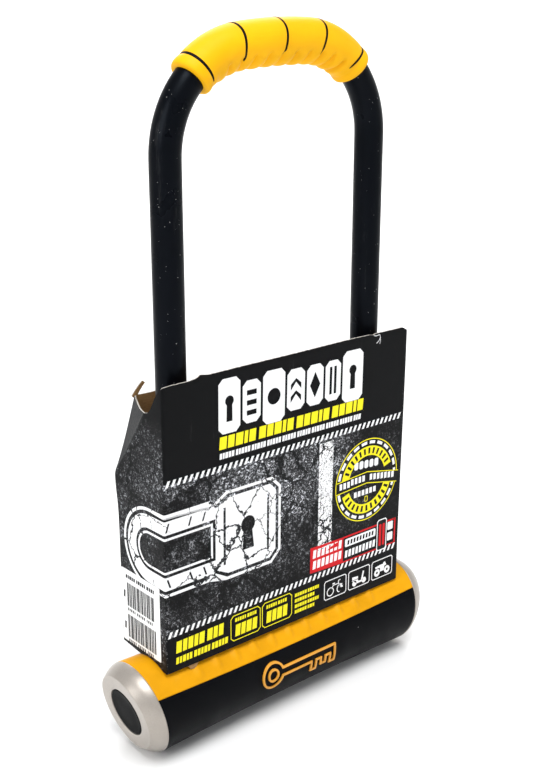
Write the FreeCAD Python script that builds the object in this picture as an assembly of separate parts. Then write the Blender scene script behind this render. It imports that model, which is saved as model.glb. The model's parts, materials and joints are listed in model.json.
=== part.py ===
"""Long-shackle bicycle u lock with its cardboard sleeve.

Frame: millimetres, +Z up. The origin is the point of the floor under the middle of the crossbar.
X runs along the crossbar, Y across it (the front is -Y), and the shackle stands up along Z.
The lock is stored open: the bolts are drawn in, so the shackle can be lifted out.
"""
import FreeCAD, Part
import math
import os

V = FreeCAD.Vector

# ---------------------------------------------------------------- driving dimensions
INNER_WIDTH = 115.0        # clear width between the coated legs
INNER_HEIGHT = 292.0       # clear height from the crossbar's waist to the crown
STEEL_DIA = 14.0           # shackle bar
COAT_WALL = 0.6            # vinyl coating on the bar
CORNER_RADII = {-1: 50.0, 1: 46.0}    # left and right bends of the bar's centreline
CROWN_RADIUS = 300.0       # the crown's own gentle bend between them
CROWN_TOP_X = 17.5         # where the crown is highest, right of the middle

BODY_END_R = 24.7          # crossbar cover, at its ends
BODY_MID_R = 23.4          # crossbar cover, at its waist
BODY_OVERHANG = 24.6       # cover beyond the legs' centrelines, at the height of its axis
CAP_LENGTH = 8.5           # end cap beyond the cover, at the height of its axis
JOIN_SLANT_DEG = 9.0       # slant of the joint between cover and cap: the top reaches further out
FACE_SLANT_DEG = 12.0      # slant of the cap's flat face
CAP_ROUND = 6.2            # rounding of the cap's outer edge
PLUG_R = 12.6              # rubber plug in the cap's face
PLUG_DEPTH = 3.0
SPIGOT_BORE_R = 13.5       # the cap is hollow inside the tube
INSERT_EDGE_END = 13.9     # yellow insert's lower edge above the axis, at the ends
INSERT_EDGE_MID = 11.9     # and at the waist

EMBLEM_X = -1.5            # raised key emblem on the front
EMBLEM_Z = 25.6
EMBLEM_HALF = 26.5
EMBLEM_BOW_R = 7.6
EMBLEM_STEM = 2.9          # half height of its stem
EMBLEM_STROKE = 1.15
EMBLEM_RISE = 0.8
EMBLEM_TEETH = 3
EMBLEM_TOOTH = 4.6
EMBLEM_TOOTH_GAP = 2.4
EMBLEM_TOOTH_DEPTH = 5.6

TUBE_R = 20.4              # steel crossbar tube, outside
TUBE_WALL = 2.9
TUBE_INSET = 5.7           # tube's ends inside the cover's ends

BUSH_WALL = 1.95           # shackle bush
BUSH_LIP = 2.2             # its flange beyond its barrel
BUSH_FLANGE = 3.1          # flange thickness
SEAL_WALL = 2.0
FOOT_CHAMFER = 1.6
PAD_LIP = 3.0              # pad under each foot, beyond the steel
PAD_THICK = 2.45

BOLT_TRAVEL = 6.0
BOLT_WIDTH = 10.0
BOLT_HEIGHT = 9.4
BOLT_GAP = 1.8             # drawn-in bolt nose to the steel leg
ARM_THICK = 3.5            # bolt's flat arm over the cam
ARM_WIDTH = 8.0
RISER_GAP = 7.5            # cam's rim to the step between bolt and arm
RISER_THICK = 9.0
GUIDE_LENGTH = 13.0

HOUSING_R = 9.5            # lock cylinder housing
NECK_R = 8.0
PLUG_CYL_R = 6.5           # turning plug
DISC_R = 4.95
DISC_THICK = 1.3
DISC_COUNT = 7
WASHER_THICK = 0.8
KEY_SLOT = (3.2, 7.6)      # keyway, across and along
CAM_RIM = 1.0              # cam beyond the outer ends of its slots
CAM_THICK = 3.5
CAM_PIN_R = 1.5
CAM_START = 6.0            # drive pins' distance from the axis when drawn in
TURN_DEG = 90.0            # key turn from open to locked
CROSS_PIN_R = 1.5

SHUTTER_TRAVEL = 12.0
SHUTTER_WALL = 1.1
BEZEL_SPAN_DEG = 24.0      # half angle of the keyway bezel round the crossbar
SHUTTER_SPAN_DEG = 19.0    # and of the shutter inside it
KEY_HOLE_R = 5.2
NUB_R = 1.5

GRIP_WALL = 3.4            # yellow grip
GRIP_HALF = 55.0           # half of its length, along the bar
GRIP_RIM = 1.2             # rounding of its end rims
INLAY_WIDTH = 1.9
INLAY_DEPTH = 0.8
INLAY_COUNT = 5
INLAY_END_GAP = 5.5        # outer inlays, from the grip's ends

CARD_SIDE_GAP = 10.0       # cardboard sleeve, outside the coated legs
CARD_FRONT_GAP = 7.6       # its front wall, in front of the legs
CARD_BACK_Y = 24.0
CARD_WALL = 0.8
CARD_FRONT_Z = 46.5        # lower edge of the front wall
CARD_BACK_Z = 49.9         # lower edge of the back wall
CARD_TOP_Z = 196.0
CARD_BEND_Z = 141.0        # the back panel leans forward above this
CARD_BACK_GAP = 2.0        # top of the back wall, behind the legs
CARD_BACK_TOP_Z = 187.0
CARD_CLIP = 4.0            # clipped top right corner
CARD_NOTCH_Z = 181.4       # bottom of the notch in the left side
CARD_NOTCH_Y = -2.0

CLEAR = 0.3                # between parts that move past each other
FIT = 0.05                 # between parts that sit together
RUN = 0.05                 # radial running clearance

# ---------------------------------------------------------------- worked-out places
STEEL_R = STEEL_DIA / 2
LEG_R = STEEL_R + COAT_WALL
LEG_X = INNER_WIDTH / 2 + LEG_R
AXIS_Z = BODY_END_R
WAIST_TOP = AXIS_Z + BODY_MID_R
CROWN_Z = WAIST_TOP + INNER_HEIGHT + LEG_R
CROWN_CENTRE_Z = CROWN_Z - CROWN_RADIUS
BODY_HALF = LEG_X + BODY_OVERHANG
TUBE_HALF = BODY_HALF - TUBE_INSET
TUBE_IN_R = TUBE_R - TUBE_WALL
JOIN_TAN = math.tan(math.radians(JOIN_SLANT_DEG))
FACE_TAN = math.tan(math.radians(FACE_SLANT_DEG))
FACE_X = BODY_HALF + CAP_LENGTH
BORE_R = STEEL_R + CLEAR + RUN
BUSH_R = BORE_R + BUSH_WALL
BUSH_FLANGE_R = BUSH_R + BUSH_LIP
PAD_R = STEEL_R + PAD_LIP
FOOT_Z = AXIS_Z - TUBE_IN_R + PAD_THICK + CLEAR + RUN
GRIP_R = LEG_R + GRIP_WALL
CAP_PIN_X = TUBE_HALF - 4.0
SPIGOT_X = LEG_X + PAD_R + 1.2

BODY_DROP = BODY_END_R - BODY_MID_R
PROFILE_R = (BODY_HALF ** 2 + BODY_DROP ** 2) / (2 * BODY_DROP)


def body_r(x):
    """Radius of the waisted cover at a distance x from the middle."""
    return BODY_MID_R + PROFILE_R - math.sqrt(PROFILE_R ** 2 - x ** 2)


BUSH_TOP = AXIS_Z + body_r(LEG_X) + 0.9
BUSH_SEAT = BUSH_TOP - BUSH_FLANGE
SEAL_TOP = BUSH_TOP + 0.3
COAT_Z = SEAL_TOP + 0.5

NOSE_X = LEG_X - STEEL_R - BOLT_GAP
NOTCH_X = NOSE_X + BOLT_TRAVEL + 0.6
NECK_Z = AXIS_Z - TUBE_R
GUARD_Z = AXIS_Z - math.sqrt(TUBE_R ** 2 - PLUG_CYL_R ** 2) + 0.3
GUARD_THICK = 1.2
PLUG_Z = GUARD_Z + GUARD_THICK + 0.2
HOUSING_TOP = AXIS_Z + 2.1
CAM_R = CAM_START + BOLT_TRAVEL + CAM_PIN_R + CAM_RIM
CAM_Z = HOUSING_TOP + 0.5
ARM_Z = CAM_Z + CAM_THICK + 0.4
STACK_Z = PLUG_Z + 3.2     # first disc, above the plug's front wall
RISER_X = CAM_R + RISER_GAP
CARD_HALF = LEG_X + LEG_R + CARD_SIDE_GAP
CARD_FRONT_Y = -LEG_R - CARD_FRONT_GAP
CARD_BACK_TOP_Y = LEG_R + CARD_BACK_GAP
CARD_BASE_Z = AXIS_Z + body_r(CARD_HALF) + 0.4


# ---------------------------------------------------------------- helpers
def block(x0, x1, y0, y1, z0, z1):
    return Part.makeBox(x1 - x0, y1 - y0, z1 - z0, V(x0, y0, z0))


def rod_z(r, x, z0, z1, y=0.0):
    return Part.makeCylinder(r, z1 - z0, V(x, y, z0))


def rod_x(r, x0, x1, z=AXIS_Z, y=0.0):
    return Part.makeCylinder(r, x1 - x0, V(x0, y, z), V(1, 0, 0))


def rod_y(r, x, z, half):
    return Part.makeCylinder(r, 2 * half, V(x, -half, z), V(0, 1, 0))


def mirror_x(shape):
    return shape.mirror(V(0, 0, 0), V(1, 0, 0))


def polygon_solid(points, direction):
    """Prism over a closed polygon of 3-D points."""
    wire = Part.makePolygon([V(*p) for p in points] + [V(*points[0])])
    return Part.Face(wire).extrude(V(*direction))


def wedge(half_deg, x0, x1, reach=40.0):
    """Sector of the crossbar round its axis, pointing straight down."""
    a = math.radians(half_deg)
    y = reach * math.tan(a)
    return polygon_solid([(x0, 0, AXIS_Z), (x0, y, AXIS_Z - reach), (x0, -y, AXIS_Z - reach)],
                         (x1 - x0, 0, 0))


def waisted_solid(shrink=0.0, half=BODY_HALF + 12):
    """Solid of revolution inside the cover's outer surface."""
    steps = 6
    points = []
    for i in range(-steps, steps + 1):
        x = half * i / steps
        points.append(V(x, 0, AXIS_Z + body_r(x) - shrink))
    curve = Part.BSplineCurve()
    curve.interpolate(points)
    foot_left, foot_right = V(-half, 0, AXIS_Z), V(half, 0, AXIS_Z)
    sides = [Part.makeLine(points[-1], foot_right), Part.makeLine(foot_right, foot_left),
             Part.makeLine(foot_left, points[0])]
    face = Part.Face(Part.Wire([curve.toShape()] + sides))
    return face.revolve(foot_left, V(1, 0, 0), 360)


def slanted_block(x_axis, tangent, x_inner=0.0):
    """Block from x_inner out to a slanted plane on the +X side."""
    low, high = -10.0, AXIS_Z + 40.0
    return polygon_solid([(x_inner, -40, low), (x_axis + tangent * (low - AXIS_Z), -40, low),
                          (x_axis + tangent * (high - AXIS_Z), -40, high), (x_inner, -40, high)],
                         (0, 80, 0))


def both_slants(x_axis, tangent):
    right = slanted_block(x_axis, tangent)
    return right.fuse(mirror_x(right)).removeSplitter()


def corner(side):
    """Centre and radius of a corner's bend, and its join to the crown: the lean from upright and
    the distance along the crown from the middle."""
    radius = CORNER_RADII[side]
    x = side * (LEG_X - radius)
    z = CROWN_CENTRE_Z + math.sqrt((CROWN_RADIUS - radius) ** 2 - (x - CROWN_TOP_X) ** 2)
    lean = side * math.atan2(x - CROWN_TOP_X, z - CROWN_CENTRE_Z)
    run = CROWN_RADIUS * (lean - side * middle_lean())
    return V(x, 0, z), radius, lean, run


def middle_lean():
    """Lean of the crown's outward direction where it crosses the middle."""
    return math.asin(-CROWN_TOP_X / CROWN_RADIUS)


def centreline_point(distance):
    """Point on the shackle's centreline, a distance along it from the middle, with the direction
    along it and the one outwards."""
    side = 1 if distance >= 0 else -1
    run = abs(distance)
    centre, radius, lean, crown_run = corner(side)
    if run <= crown_run:
        centre, radius = V(CROWN_TOP_X, 0, CROWN_CENTRE_Z), CROWN_RADIUS
        turn = side * middle_lean() + run / CROWN_RADIUS
    else:
        turn = lean + (run - crown_run) / radius
    turn *= side
    out = V(math.sin(turn), 0, math.cos(turn))
    return centre + out * radius, V(math.cos(turn), 0, -math.sin(turn)), out


def pipe(radius, z_foot, half=None):
    """Bar of the given radius along the shackle's centreline.

    With no half length it runs from foot to foot, otherwise only that far each way from the middle.
    """
    def arc(start, end):
        return Part.Arc(centreline_point(start)[0], centreline_point((start + end) / 2)[0],
                        centreline_point(end)[0]).toShape()

    joins = {side: corner(side)[3] for side in (-1, 1)}
    edges = [arc(-joins[-1], joins[1])]
    for side in (-1, 1):
        bend, lean = corner(side)[1:3]
        end = half if half is not None else joins[side] + bend * (math.pi / 2 - lean)
        edges.append(arc(side * joins[side], side * end))
        if half is None:
            edges.append(Part.makeLine(V(side * LEG_X, 0, z_foot), centreline_point(side * end)[0]))
    path = Part.Wire(Part.__sortEdges__(edges))
    start = path.OrderedVertexes[0].Point
    ahead = path.OrderedEdges[0].tangentAt(path.OrderedEdges[0].FirstParameter)
    section = Part.Wire(Part.makeCircle(radius, start, ahead))
    return path.makePipeShell([section], True, False)


# ---------------------------------------------------------------- crossbar body
def leg_holes(radius, z0, z1):
    return rod_z(radius, -LEG_X, z0, z1).fuse(rod_z(radius, LEG_X, z0, z1))


def crossbar_tube():
    tube = rod_x(TUBE_R, -TUBE_HALF, TUBE_HALF).cut(rod_x(TUBE_IN_R, -TUBE_HALF, TUBE_HALF))
    tube = tube.cut(leg_holes(BUSH_R + FIT, AXIS_Z, AXIS_Z + TUBE_R + 5))
    tube = tube.cut(rod_z(NECK_R + FIT, 0, 0, AXIS_Z))
    for x, z in cylinder_pin_places():
        tube = tube.cut(rod_y(CROSS_PIN_R + FIT, x, z, TUBE_R + 1))
    for side in (-1, 1):
        tube = tube.cut(rod_y(CROSS_PIN_R + FIT, side * CAP_PIN_X, AXIS_Z, TUBE_R + 1))
    return tube


def cylinder_pin_places():
    x = HOUSING_R - 0.9
    return [(-x, AXIS_Z - 7.0), (x, AXIS_Z - 7.0)]


def edge_surface_block():
    """Everything above the gently sagging lower edge of the yellow insert."""
    x = BODY_HALF + 20
    sag = INSERT_EDGE_END - INSERT_EDGE_MID
    rise = INSERT_EDGE_MID + sag * (x / BODY_HALF) ** 2
    z_end = AXIS_Z + rise
    top = AXIS_Z + 60
    arc = Part.Arc(V(-x, -40, z_end), V(0, -40, AXIS_Z + INSERT_EDGE_MID), V(x, -40, z_end)).toShape()
    lines = [Part.makeLine(V(x, -40, z_end), V(x, -40, top)),
             Part.makeLine(V(x, -40, top), V(-x, -40, top)),
             Part.makeLine(V(-x, -40, top), V(-x, -40, z_end))]
    return Part.Face(Part.Wire([arc] + lines)).extrude(V(0, 80, 0))


def cover_shell():
    shell = waisted_solid().cut(rod_x(TUBE_R + FIT, -130, 130))
    return shell.common(both_slants(BODY_HALF, JOIN_TAN))


def shutter_ends():
    """The shutter's two ends at rest, and the far end of its track."""
    return -KEY_HOLE_R - 1.3, 12.2, 12.2 + SHUTTER_TRAVEL


def nub_x():
    return KEY_HOLE_R + 3.6


def bezel_zone(gap=0.0):
    first, _, far = shutter_ends()
    return wedge(BEZEL_SPAN_DEG - gap * 2.5, first - 3.0 + gap, far + 3.0 - gap)


def crossbar_jacket():
    jacket = cover_shell().cut(edge_surface_block())
    return jacket.cut(bezel_zone())


def top_insert():
    insert = cover_shell().common(edge_surface_block())
    insert = insert.cut(leg_holes(BUSH_R + FIT, AXIS_Z, BUSH_SEAT))
    return insert.cut(leg_holes(BUSH_FLANGE_R + FIT, BUSH_SEAT, BUSH_SEAT + 20))


def face_frame(shape):
    """Turn a shape built round +X at the origin onto the right cap's slanted face."""
    turned = shape.copy()
    turned.rotate(V(0, 0, 0), V(0, 1, 0), FACE_SLANT_DEG)
    turned.translate(V(FACE_X, 0, AXIS_Z))
    return turned


def end_cap_right():
    outer = rod_x(BODY_END_R, BODY_HALF - 15, FACE_X + 15)
    outer = outer.common(slanted_block(FACE_X, FACE_TAN))
    rim = [e for e in outer.Edges
           if e.BoundBox.XMax > FACE_X + 1 and e.BoundBox.ZLength > BODY_END_R]
    outer = outer.makeFillet(CAP_ROUND, rim)
    outer = outer.cut(slanted_block(BODY_HALF, JOIN_TAN, 0.0))
    core = rod_x(TUBE_R, TUBE_HALF, BODY_HALF + 2).common(slanted_block(BODY_HALF + 0.5, JOIN_TAN))
    cap = outer.fuse(core).fuse(rod_x(TUBE_IN_R - FIT, SPIGOT_X, TUBE_HALF + 1)).removeSplitter()
    pocket = Part.makeCylinder(PLUG_R + FIT, PLUG_DEPTH + 5, V(-PLUG_DEPTH, 0, 0), V(1, 0, 0))
    cap = cap.cut(face_frame(pocket))
    cap = cap.cut(rod_x(SPIGOT_BORE_R, SPIGOT_X - 1, BODY_HALF - 1.5))
    return cap.cut(rod_y(CROSS_PIN_R + FIT, CAP_PIN_X, AXIS_Z, TUBE_R + 1))


def end_plug_right():
    """Rubber plug in the cap's face, with a stem and a soft edge."""
    plug = Part.makeCylinder(PLUG_R, PLUG_DEPTH - 0.35, V(-PLUG_DEPTH, 0, 0), V(1, 0, 0))
    edge = [e for e in plug.Edges if abs(e.BoundBox.XMin + 0.35) < 1e-3 and e.Length > 1]
    return face_frame(plug.makeFillet(0.6, edge))


def end_cap_pins():
    """Short pins through the tube's wall into the spigots, front and back."""
    pins = []
    for side in (-1, 1):
        pin = rod_y(CROSS_PIN_R, side * CAP_PIN_X, AXIS_Z, TUBE_R - 0.3)
        pins.append(pin.cut(rod_x(SPIGOT_BORE_R, -TUBE_HALF, TUBE_HALF)))
    return Part.makeCompound([solid for pin in pins for solid in pin.Solids])


def leg_bush(x):
    foot = AXIS_Z + math.sqrt(TUBE_IN_R ** 2 - BUSH_R ** 2)
    bush = rod_z(BUSH_R, x, foot, BUSH_SEAT).fuse(rod_z(BUSH_FLANGE_R, x, BUSH_SEAT, BUSH_TOP))
    bush = bush.cut(rod_z(BORE_R, x, AXIS_Z, BUSH_TOP + 5))
    return bush.cut(rod_z(BORE_R + SEAL_WALL + FIT, x, BUSH_TOP - 1.6, BUSH_TOP + 5))


def leg_seal(x):
    ring = rod_z(BORE_R + SEAL_WALL, x, BUSH_TOP - 1.6, SEAL_TOP)
    return ring.cut(rod_z(BORE_R, x, 0, SEAL_TOP + 5))


def foot_pad(x):
    pad = rod_z(PAD_R, x, 0, AXIS_Z - TUBE_IN_R + PAD_THICK)
    return pad.common(rod_x(TUBE_IN_R - FIT, x - 20, x + 20))


def bolt_section(grow=0.0):
    """Height and width limits of a locking bolt, about the crossbar's axis."""
    y = BOLT_WIDTH / 2 + grow
    z = BOLT_HEIGHT / 2 + grow
    return y, z


def guide_start():
    return RISER_X + RISER_THICK + BOLT_TRAVEL + 1.5


def bolt_guide_right():
    x0 = guide_start()
    y, z = bolt_section(CLEAR)
    guide = rod_x(TUBE_IN_R - FIT, x0, x0 + GUIDE_LENGTH)
    guide = guide.cut(block(x0 - 1, x0 + GUIDE_LENGTH + 1, -y, y, AXIS_Z - z, AXIS_Z + z))
    relief = 2 * z + 6
    return guide.cut(block(x0 - 1, x0 + GUIDE_LENGTH + 1, -y + 2, y - 2, AXIS_Z + z, AXIS_Z + relief))


def cylinder_housing():
    body = rod_z(HOUSING_R, 0, AXIS_Z - TUBE_IN_R + 2.6, HOUSING_TOP)
    body = body.fuse(rod_z(NECK_R, 0, NECK_Z, HOUSING_TOP))
    body = body.common(rod_x(TUBE_R - 0.05, -20, 20))
    body = body.cut(rod_z(PLUG_CYL_R + RUN, 0, GUARD_Z, HOUSING_TOP + 1))
    body = body.cut(rod_z(KEY_HOLE_R, 0, 0, GUARD_Z + 1))
    for x, z in cylinder_pin_places():
        body = body.cut(rod_y(CROSS_PIN_R + FIT, x, z, TUBE_R))
    return body


def cylinder_pins():
    pins = []
    for x, z in cylinder_pin_places():
        half = math.sqrt(TUBE_R ** 2 - (AXIS_Z - z) ** 2) - 0.6
        pins.append(rod_y(CROSS_PIN_R, x, z, half))
    return Part.makeCompound(pins)


def key_hole(z0, z1, grow=0.0):
    y, x = KEY_SLOT[0] / 2 + grow, KEY_SLOT[1] / 2 + grow
    return block(-x, x, -y, y, z0, z1)


def drill_guard():
    guard = rod_z(PLUG_CYL_R - FIT, 0, GUARD_Z, GUARD_Z + GUARD_THICK)
    return guard.cut(rod_z(KEY_SLOT[1] / 2 + 0.5, 0, 0, GUARD_Z + 5))


def keyway_bezel():
    first, _, far = shutter_ends()
    inner = TUBE_R + 0.4 + SHUTTER_WALL + CLEAR
    plate = waisted_solid(0.1).cut(rod_x(inner, -60, 60)).common(bezel_zone(0.1))
    plate = plate.cut(rod_z(KEY_HOLE_R, 0, -1, AXIS_Z))
    slot = block(nub_x(), nub_x() + SHUTTER_TRAVEL, -NUB_R - CLEAR, NUB_R + CLEAR, -1, AXIS_Z)
    slot = slot.fuse(rod_z(NUB_R + CLEAR, nub_x(), -1, AXIS_Z))
    slot = slot.fuse(rod_z(NUB_R + CLEAR, nub_x() + SHUTTER_TRAVEL, -1, AXIS_Z))
    plate = plate.cut(slot)
    rails = waisted_solid(0.1).cut(rod_x(TUBE_R + 0.1, -60, 60)).common(bezel_zone(0.1))
    rails = rails.cut(wedge(SHUTTER_SPAN_DEG + 1.0, first - 0.4, far + 0.4))
    return plate.fuse(rails.cut(rod_z(KEY_HOLE_R, 0, -1, AXIS_Z))).removeSplitter()


def key_outline(inset):
    """Flat drawing of a key, lying in the XZ plane and moved in by a stroke's width."""
    bow = Part.makeCylinder(EMBLEM_BOW_R - inset, 20, V(-EMBLEM_HALF + EMBLEM_BOW_R, -10, 0), V(0, 1, 0))
    stem = block(-EMBLEM_HALF + EMBLEM_BOW_R, EMBLEM_HALF - inset, -10, 10,
                 -EMBLEM_STEM + inset, EMBLEM_STEM - inset)
    drawing = bow.fuse(stem)
    for i in range(EMBLEM_TEETH):
        x = EMBLEM_HALF - (EMBLEM_TOOTH + EMBLEM_TOOTH_GAP) * i
        depth = EMBLEM_TOOTH_DEPTH - 1.5 * (i % 2)
        drawing = drawing.fuse(block(x - EMBLEM_TOOTH + inset, x - inset, -10, 10,
                                     -EMBLEM_STEM - depth + inset, EMBLEM_STEM - inset))
    return drawing


def front_emblem():
    """Raised outline of a key on the front of the cover."""
    outline = key_outline(0.0).cut(key_outline(EMBLEM_STROKE)).removeSplitter()
    eye = Part.makeCylinder(EMBLEM_BOW_R / 2, 20, V(-EMBLEM_HALF + EMBLEM_BOW_R, -10, 0), V(0, 1, 0))
    eye_hole = Part.makeCylinder(EMBLEM_BOW_R / 2 - EMBLEM_STROKE, 20,
                                 V(-EMBLEM_HALF + EMBLEM_BOW_R, -10, 0), V(0, 1, 0))
    badge = Part.makeCompound([outline, eye.cut(eye_hole)])
    badge.translate(V(EMBLEM_X, -BODY_MID_R, EMBLEM_Z))
    raised = waisted_solid(-EMBLEM_RISE).cut(waisted_solid(-0.02))
    return badge.common(raised)


# ---------------------------------------------------------------- turning and sliding parts
def cylinder_plug():
    plug = rod_z(PLUG_CYL_R, 0, PLUG_Z, HOUSING_TOP)
    stack_top = stack_end()
    plug = plug.cut(rod_z(DISC_R + FIT, 0, STACK_Z - FIT, stack_top + FIT))
    plug = plug.cut(key_hole(PLUG_Z - 1, STACK_Z))
    plug = plug.cut(side_bar(FIT))
    drive = block(-2.5, 2.5, -2.5, 2.5, HOUSING_TOP - 1, CAM_Z + CAM_THICK - 0.5)
    return plug.fuse(drive).cut(rod_z(1.0, 0, CAM_Z, CAM_Z + 6))


def stack_end():
    return STACK_Z + DISC_COUNT * DISC_THICK + (DISC_COUNT - 1) * WASHER_THICK


def disc_z(index):
    return STACK_Z + index * (DISC_THICK + WASHER_THICK)


def tumbler_discs():
    discs = []
    for index in range(DISC_COUNT):
        disc = rod_z(DISC_R - 0.05, 0, disc_z(index), disc_z(index) + DISC_THICK - 0.02)
        disc = disc.cut(key_hole(disc_z(index) - 1, disc_z(index) + DISC_THICK + 1, 0.1))
        discs.append(disc.cut(side_bar(0.15)))
    return Part.makeCompound(discs)


def disc_washers():
    washers = []
    for index in range(DISC_COUNT - 1):
        z = disc_z(index) + DISC_THICK
        washer = rod_z(DISC_R - 0.05, 0, z, z + WASHER_THICK - 0.02).cut(rod_z(KEY_SLOT[1] / 2 + 0.3, 0, z - 1, z + 2))
        washers.append(washer.cut(side_bar(0.15)))
    return Part.makeCompound(washers)


def side_bar(grow=0.0):
    """Long pin in the plug's wall that drops into the discs when the right key is in."""
    r = 0.8 + grow
    return rod_z(r, 0, STACK_Z + 0.3 - grow, stack_end() - 0.3 + grow, y=DISC_R - 0.1)


def cam_slot(centre_deg):
    """Spiral slot that moves a drive pin outward evenly as the cam turns."""
    w = CAM_PIN_R + 0.28
    steps = 12
    inner, outer = [], []
    growth = BOLT_TRAVEL / math.radians(TURN_DEG)
    for i in range(steps + 1):
        turn = math.radians(TURN_DEG) * i / steps
        r = CAM_START + growth * turn
        a = math.radians(centre_deg) - turn
        along = V(growth * math.cos(a) + r * math.sin(a), growth * math.sin(a) - r * math.cos(a), 0)
        normal = V(-along.y, along.x, 0).normalize() * w
        point = V(r * math.cos(a), r * math.sin(a), CAM_Z - 1)
        outer.append(point + normal)
        inner.append(point - normal)
        if i == 0:
            start_tip = point - along.normalize() * w
        if i == steps:
            end_tip = point + along.normalize() * w
    curves = []
    for points in (outer, inner):
        curve = Part.BSplineCurve()
        curve.interpolate(points)
        curves.append(curve.toShape())
    caps = [Part.Arc(outer[0], start_tip, inner[0]).toShape(), Part.Arc(outer[-1], end_tip, inner[-1]).toShape()]
    wire = Part.Wire(Part.__sortEdges__(curves + caps))
    return Part.Face(wire).extrude(V(0, 0, CAM_THICK + 2))


def drive_cam():
    cam = rod_z(CAM_R, 0, CAM_Z, CAM_Z + CAM_THICK)
    cam = cam.cut(block(-2.55, 2.55, -2.55, 2.55, CAM_Z - 1, CAM_Z + CAM_THICK + 1))
    return cam.cut(cam_slot(0)).cut(cam_slot(180))


def cam_screw():
    top = CAM_Z + CAM_THICK
    head = rod_z(3.0, 0, top, top + 1.6).fuse(rod_z(0.95, 0, CAM_Z + 0.3, top + 0.2))
    return head.cut(block(-3.5, 3.5, -0.4, 0.4, top + 0.9, top + 3))


def locking_bolt_right():
    y, z = bolt_section()
    arm_top = ARM_Z + ARM_THICK
    bolt = block(RISER_X, NOSE_X, -y, y, AXIS_Z - z, AXIS_Z + z)
    nose = [e for e in bolt.Edges if abs(e.BoundBox.XMin - NOSE_X) < 1e-6 and abs(e.BoundBox.XMax - NOSE_X) < 1e-6]
    bolt = bolt.makeChamfer(0.8, nose)
    half = ARM_WIDTH / 2
    bolt = bolt.fuse(block(RISER_X, RISER_X + RISER_THICK, -half, half, AXIS_Z - z, arm_top))
    tail = CAM_START - CAM_PIN_R - 1.1
    bolt = bolt.fuse(block(tail, RISER_X + 1, -half, half, ARM_Z, arm_top))
    return bolt.cut(rod_z(CAM_PIN_R + 0.02, CAM_START, CAM_Z, arm_top + 5)).removeSplitter()


def drive_pin_right():
    return rod_z(CAM_PIN_R, CAM_START, CAM_Z + 0.4, ARM_Z + ARM_THICK)


def dust_shutter():
    first, last, _ = shutter_ends()
    r0 = TUBE_R + 0.4
    plate = rod_x(r0 + SHUTTER_WALL, first, last).cut(rod_x(r0, first - 1, last + 1))
    plate = plate.common(wedge(SHUTTER_SPAN_DEG, first, last))
    nub = rod_z(NUB_R, nub_x(), AXIS_Z - body_r(0) + 0.2, AXIS_Z - r0 - 0.3)
    return plate.fuse(nub)


# ---------------------------------------------------------------- shackle
def shackle_bar():
    bar = pipe(STEEL_R, FOOT_Z)
    tip = STEEL_R - FOOT_CHAMFER
    for side in (-1, 1):
        x = side * LEG_X
        cone = Part.makeCone(tip, STEEL_R + 1, FOOT_CHAMFER + 1, V(x, 0, FOOT_Z))
        ring = rod_z(STEEL_R + 3, x, FOOT_Z - 1, FOOT_Z + FOOT_CHAMFER).cut(cone).cut(
            rod_z(tip, x, FOOT_Z - 2, FOOT_Z + 1))
        bar = bar.cut(ring)
    y, z = bolt_section(0.8)
    notch = block(LEG_X - 2 * STEEL_R, NOTCH_X, -STEEL_R - 1, STEEL_R + 1, AXIS_Z - z, AXIS_Z + z)
    return bar.cut(notch).cut(mirror_x(notch))


def shackle_coating():
    return pipe(LEG_R, COAT_Z).cut(pipe(STEEL_R + FIT, COAT_Z - 5))


def inlay_places():
    half = GRIP_HALF - INLAY_END_GAP
    step = 2 * half / (INLAY_COUNT - 1)
    return [-half + step * i for i in range(INLAY_COUNT)]


def inlay_band(distance, inner_r, outer_r, width):
    """Thin band round the outer side of the grip."""
    point, along, out = centreline_point(distance)
    base = point - along * (width / 2)
    ring = Part.makeCylinder(outer_r, width, base, along)
    ring = ring.cut(Part.makeCylinder(inner_r, width, base, along))
    size = 4 * GRIP_R
    half_space = Part.makeBox(size, size, size, V(-size / 2, -size / 2, -GRIP_R * 0.25))
    placing = FreeCAD.Placement(point, FreeCAD.Rotation(V(0, 0, 1), out))
    half_space.Placement = placing
    return ring.common(half_space)


def shackle_grip():
    grip = pipe(GRIP_R, 0, GRIP_HALF)
    rims = [e for e in grip.Edges if e.Curve.TypeId == "Part::GeomCircle"
            and abs(e.Curve.Radius - GRIP_R) < 0.01 and end_distance(e) < 2]
    grip = grip.makeFillet(GRIP_RIM, rims)
    grip = grip.cut(pipe(LEG_R + FIT, 0, GRIP_HALF + 2))
    for place in inlay_places():
        groove = inlay_band(place, GRIP_R - INLAY_DEPTH - 0.02, GRIP_R + 3, INLAY_WIDTH + 0.04)
        grip = grip.cut(groove)
    return grip


def end_distance(edge):
    ends = [centreline_point(side * GRIP_HALF)[0] for side in (-1, 1)]
    return min(edge.Curve.Center.distanceToPoint(end) for end in ends)


def grip_inlays():
    inner, outer = GRIP_R - INLAY_DEPTH, GRIP_R + 0.05
    return Part.makeCompound([inlay_band(p, inner, outer, INLAY_WIDTH) for p in inlay_places()])


# ---------------------------------------------------------------- cardboard sleeve
def card_profile(inset):
    """Side outline of the sleeve as a solid across its width, moved in by a wall."""
    half = CARD_HALF - inset
    front = CARD_FRONT_Y + inset
    back = CARD_BACK_Y - inset
    top_y = CARD_BACK_TOP_Y - inset
    lean = (CARD_BACK_Y - CARD_BACK_TOP_Y) / (CARD_BACK_TOP_Z - CARD_BEND_Z)
    over = 30.0 if inset else 0.0
    points = [(front, CARD_FRONT_Z - over), (back, CARD_BACK_Z - over), (back, CARD_BEND_Z),
              (top_y - lean * over, CARD_BACK_TOP_Z + over)]
    if not inset:
        points.append((top_y, CARD_TOP_Z))
    points.append((front, CARD_TOP_Z + over))
    return polygon_solid([(-half, y, z) for y, z in points], (2 * half, 0, 0))


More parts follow.
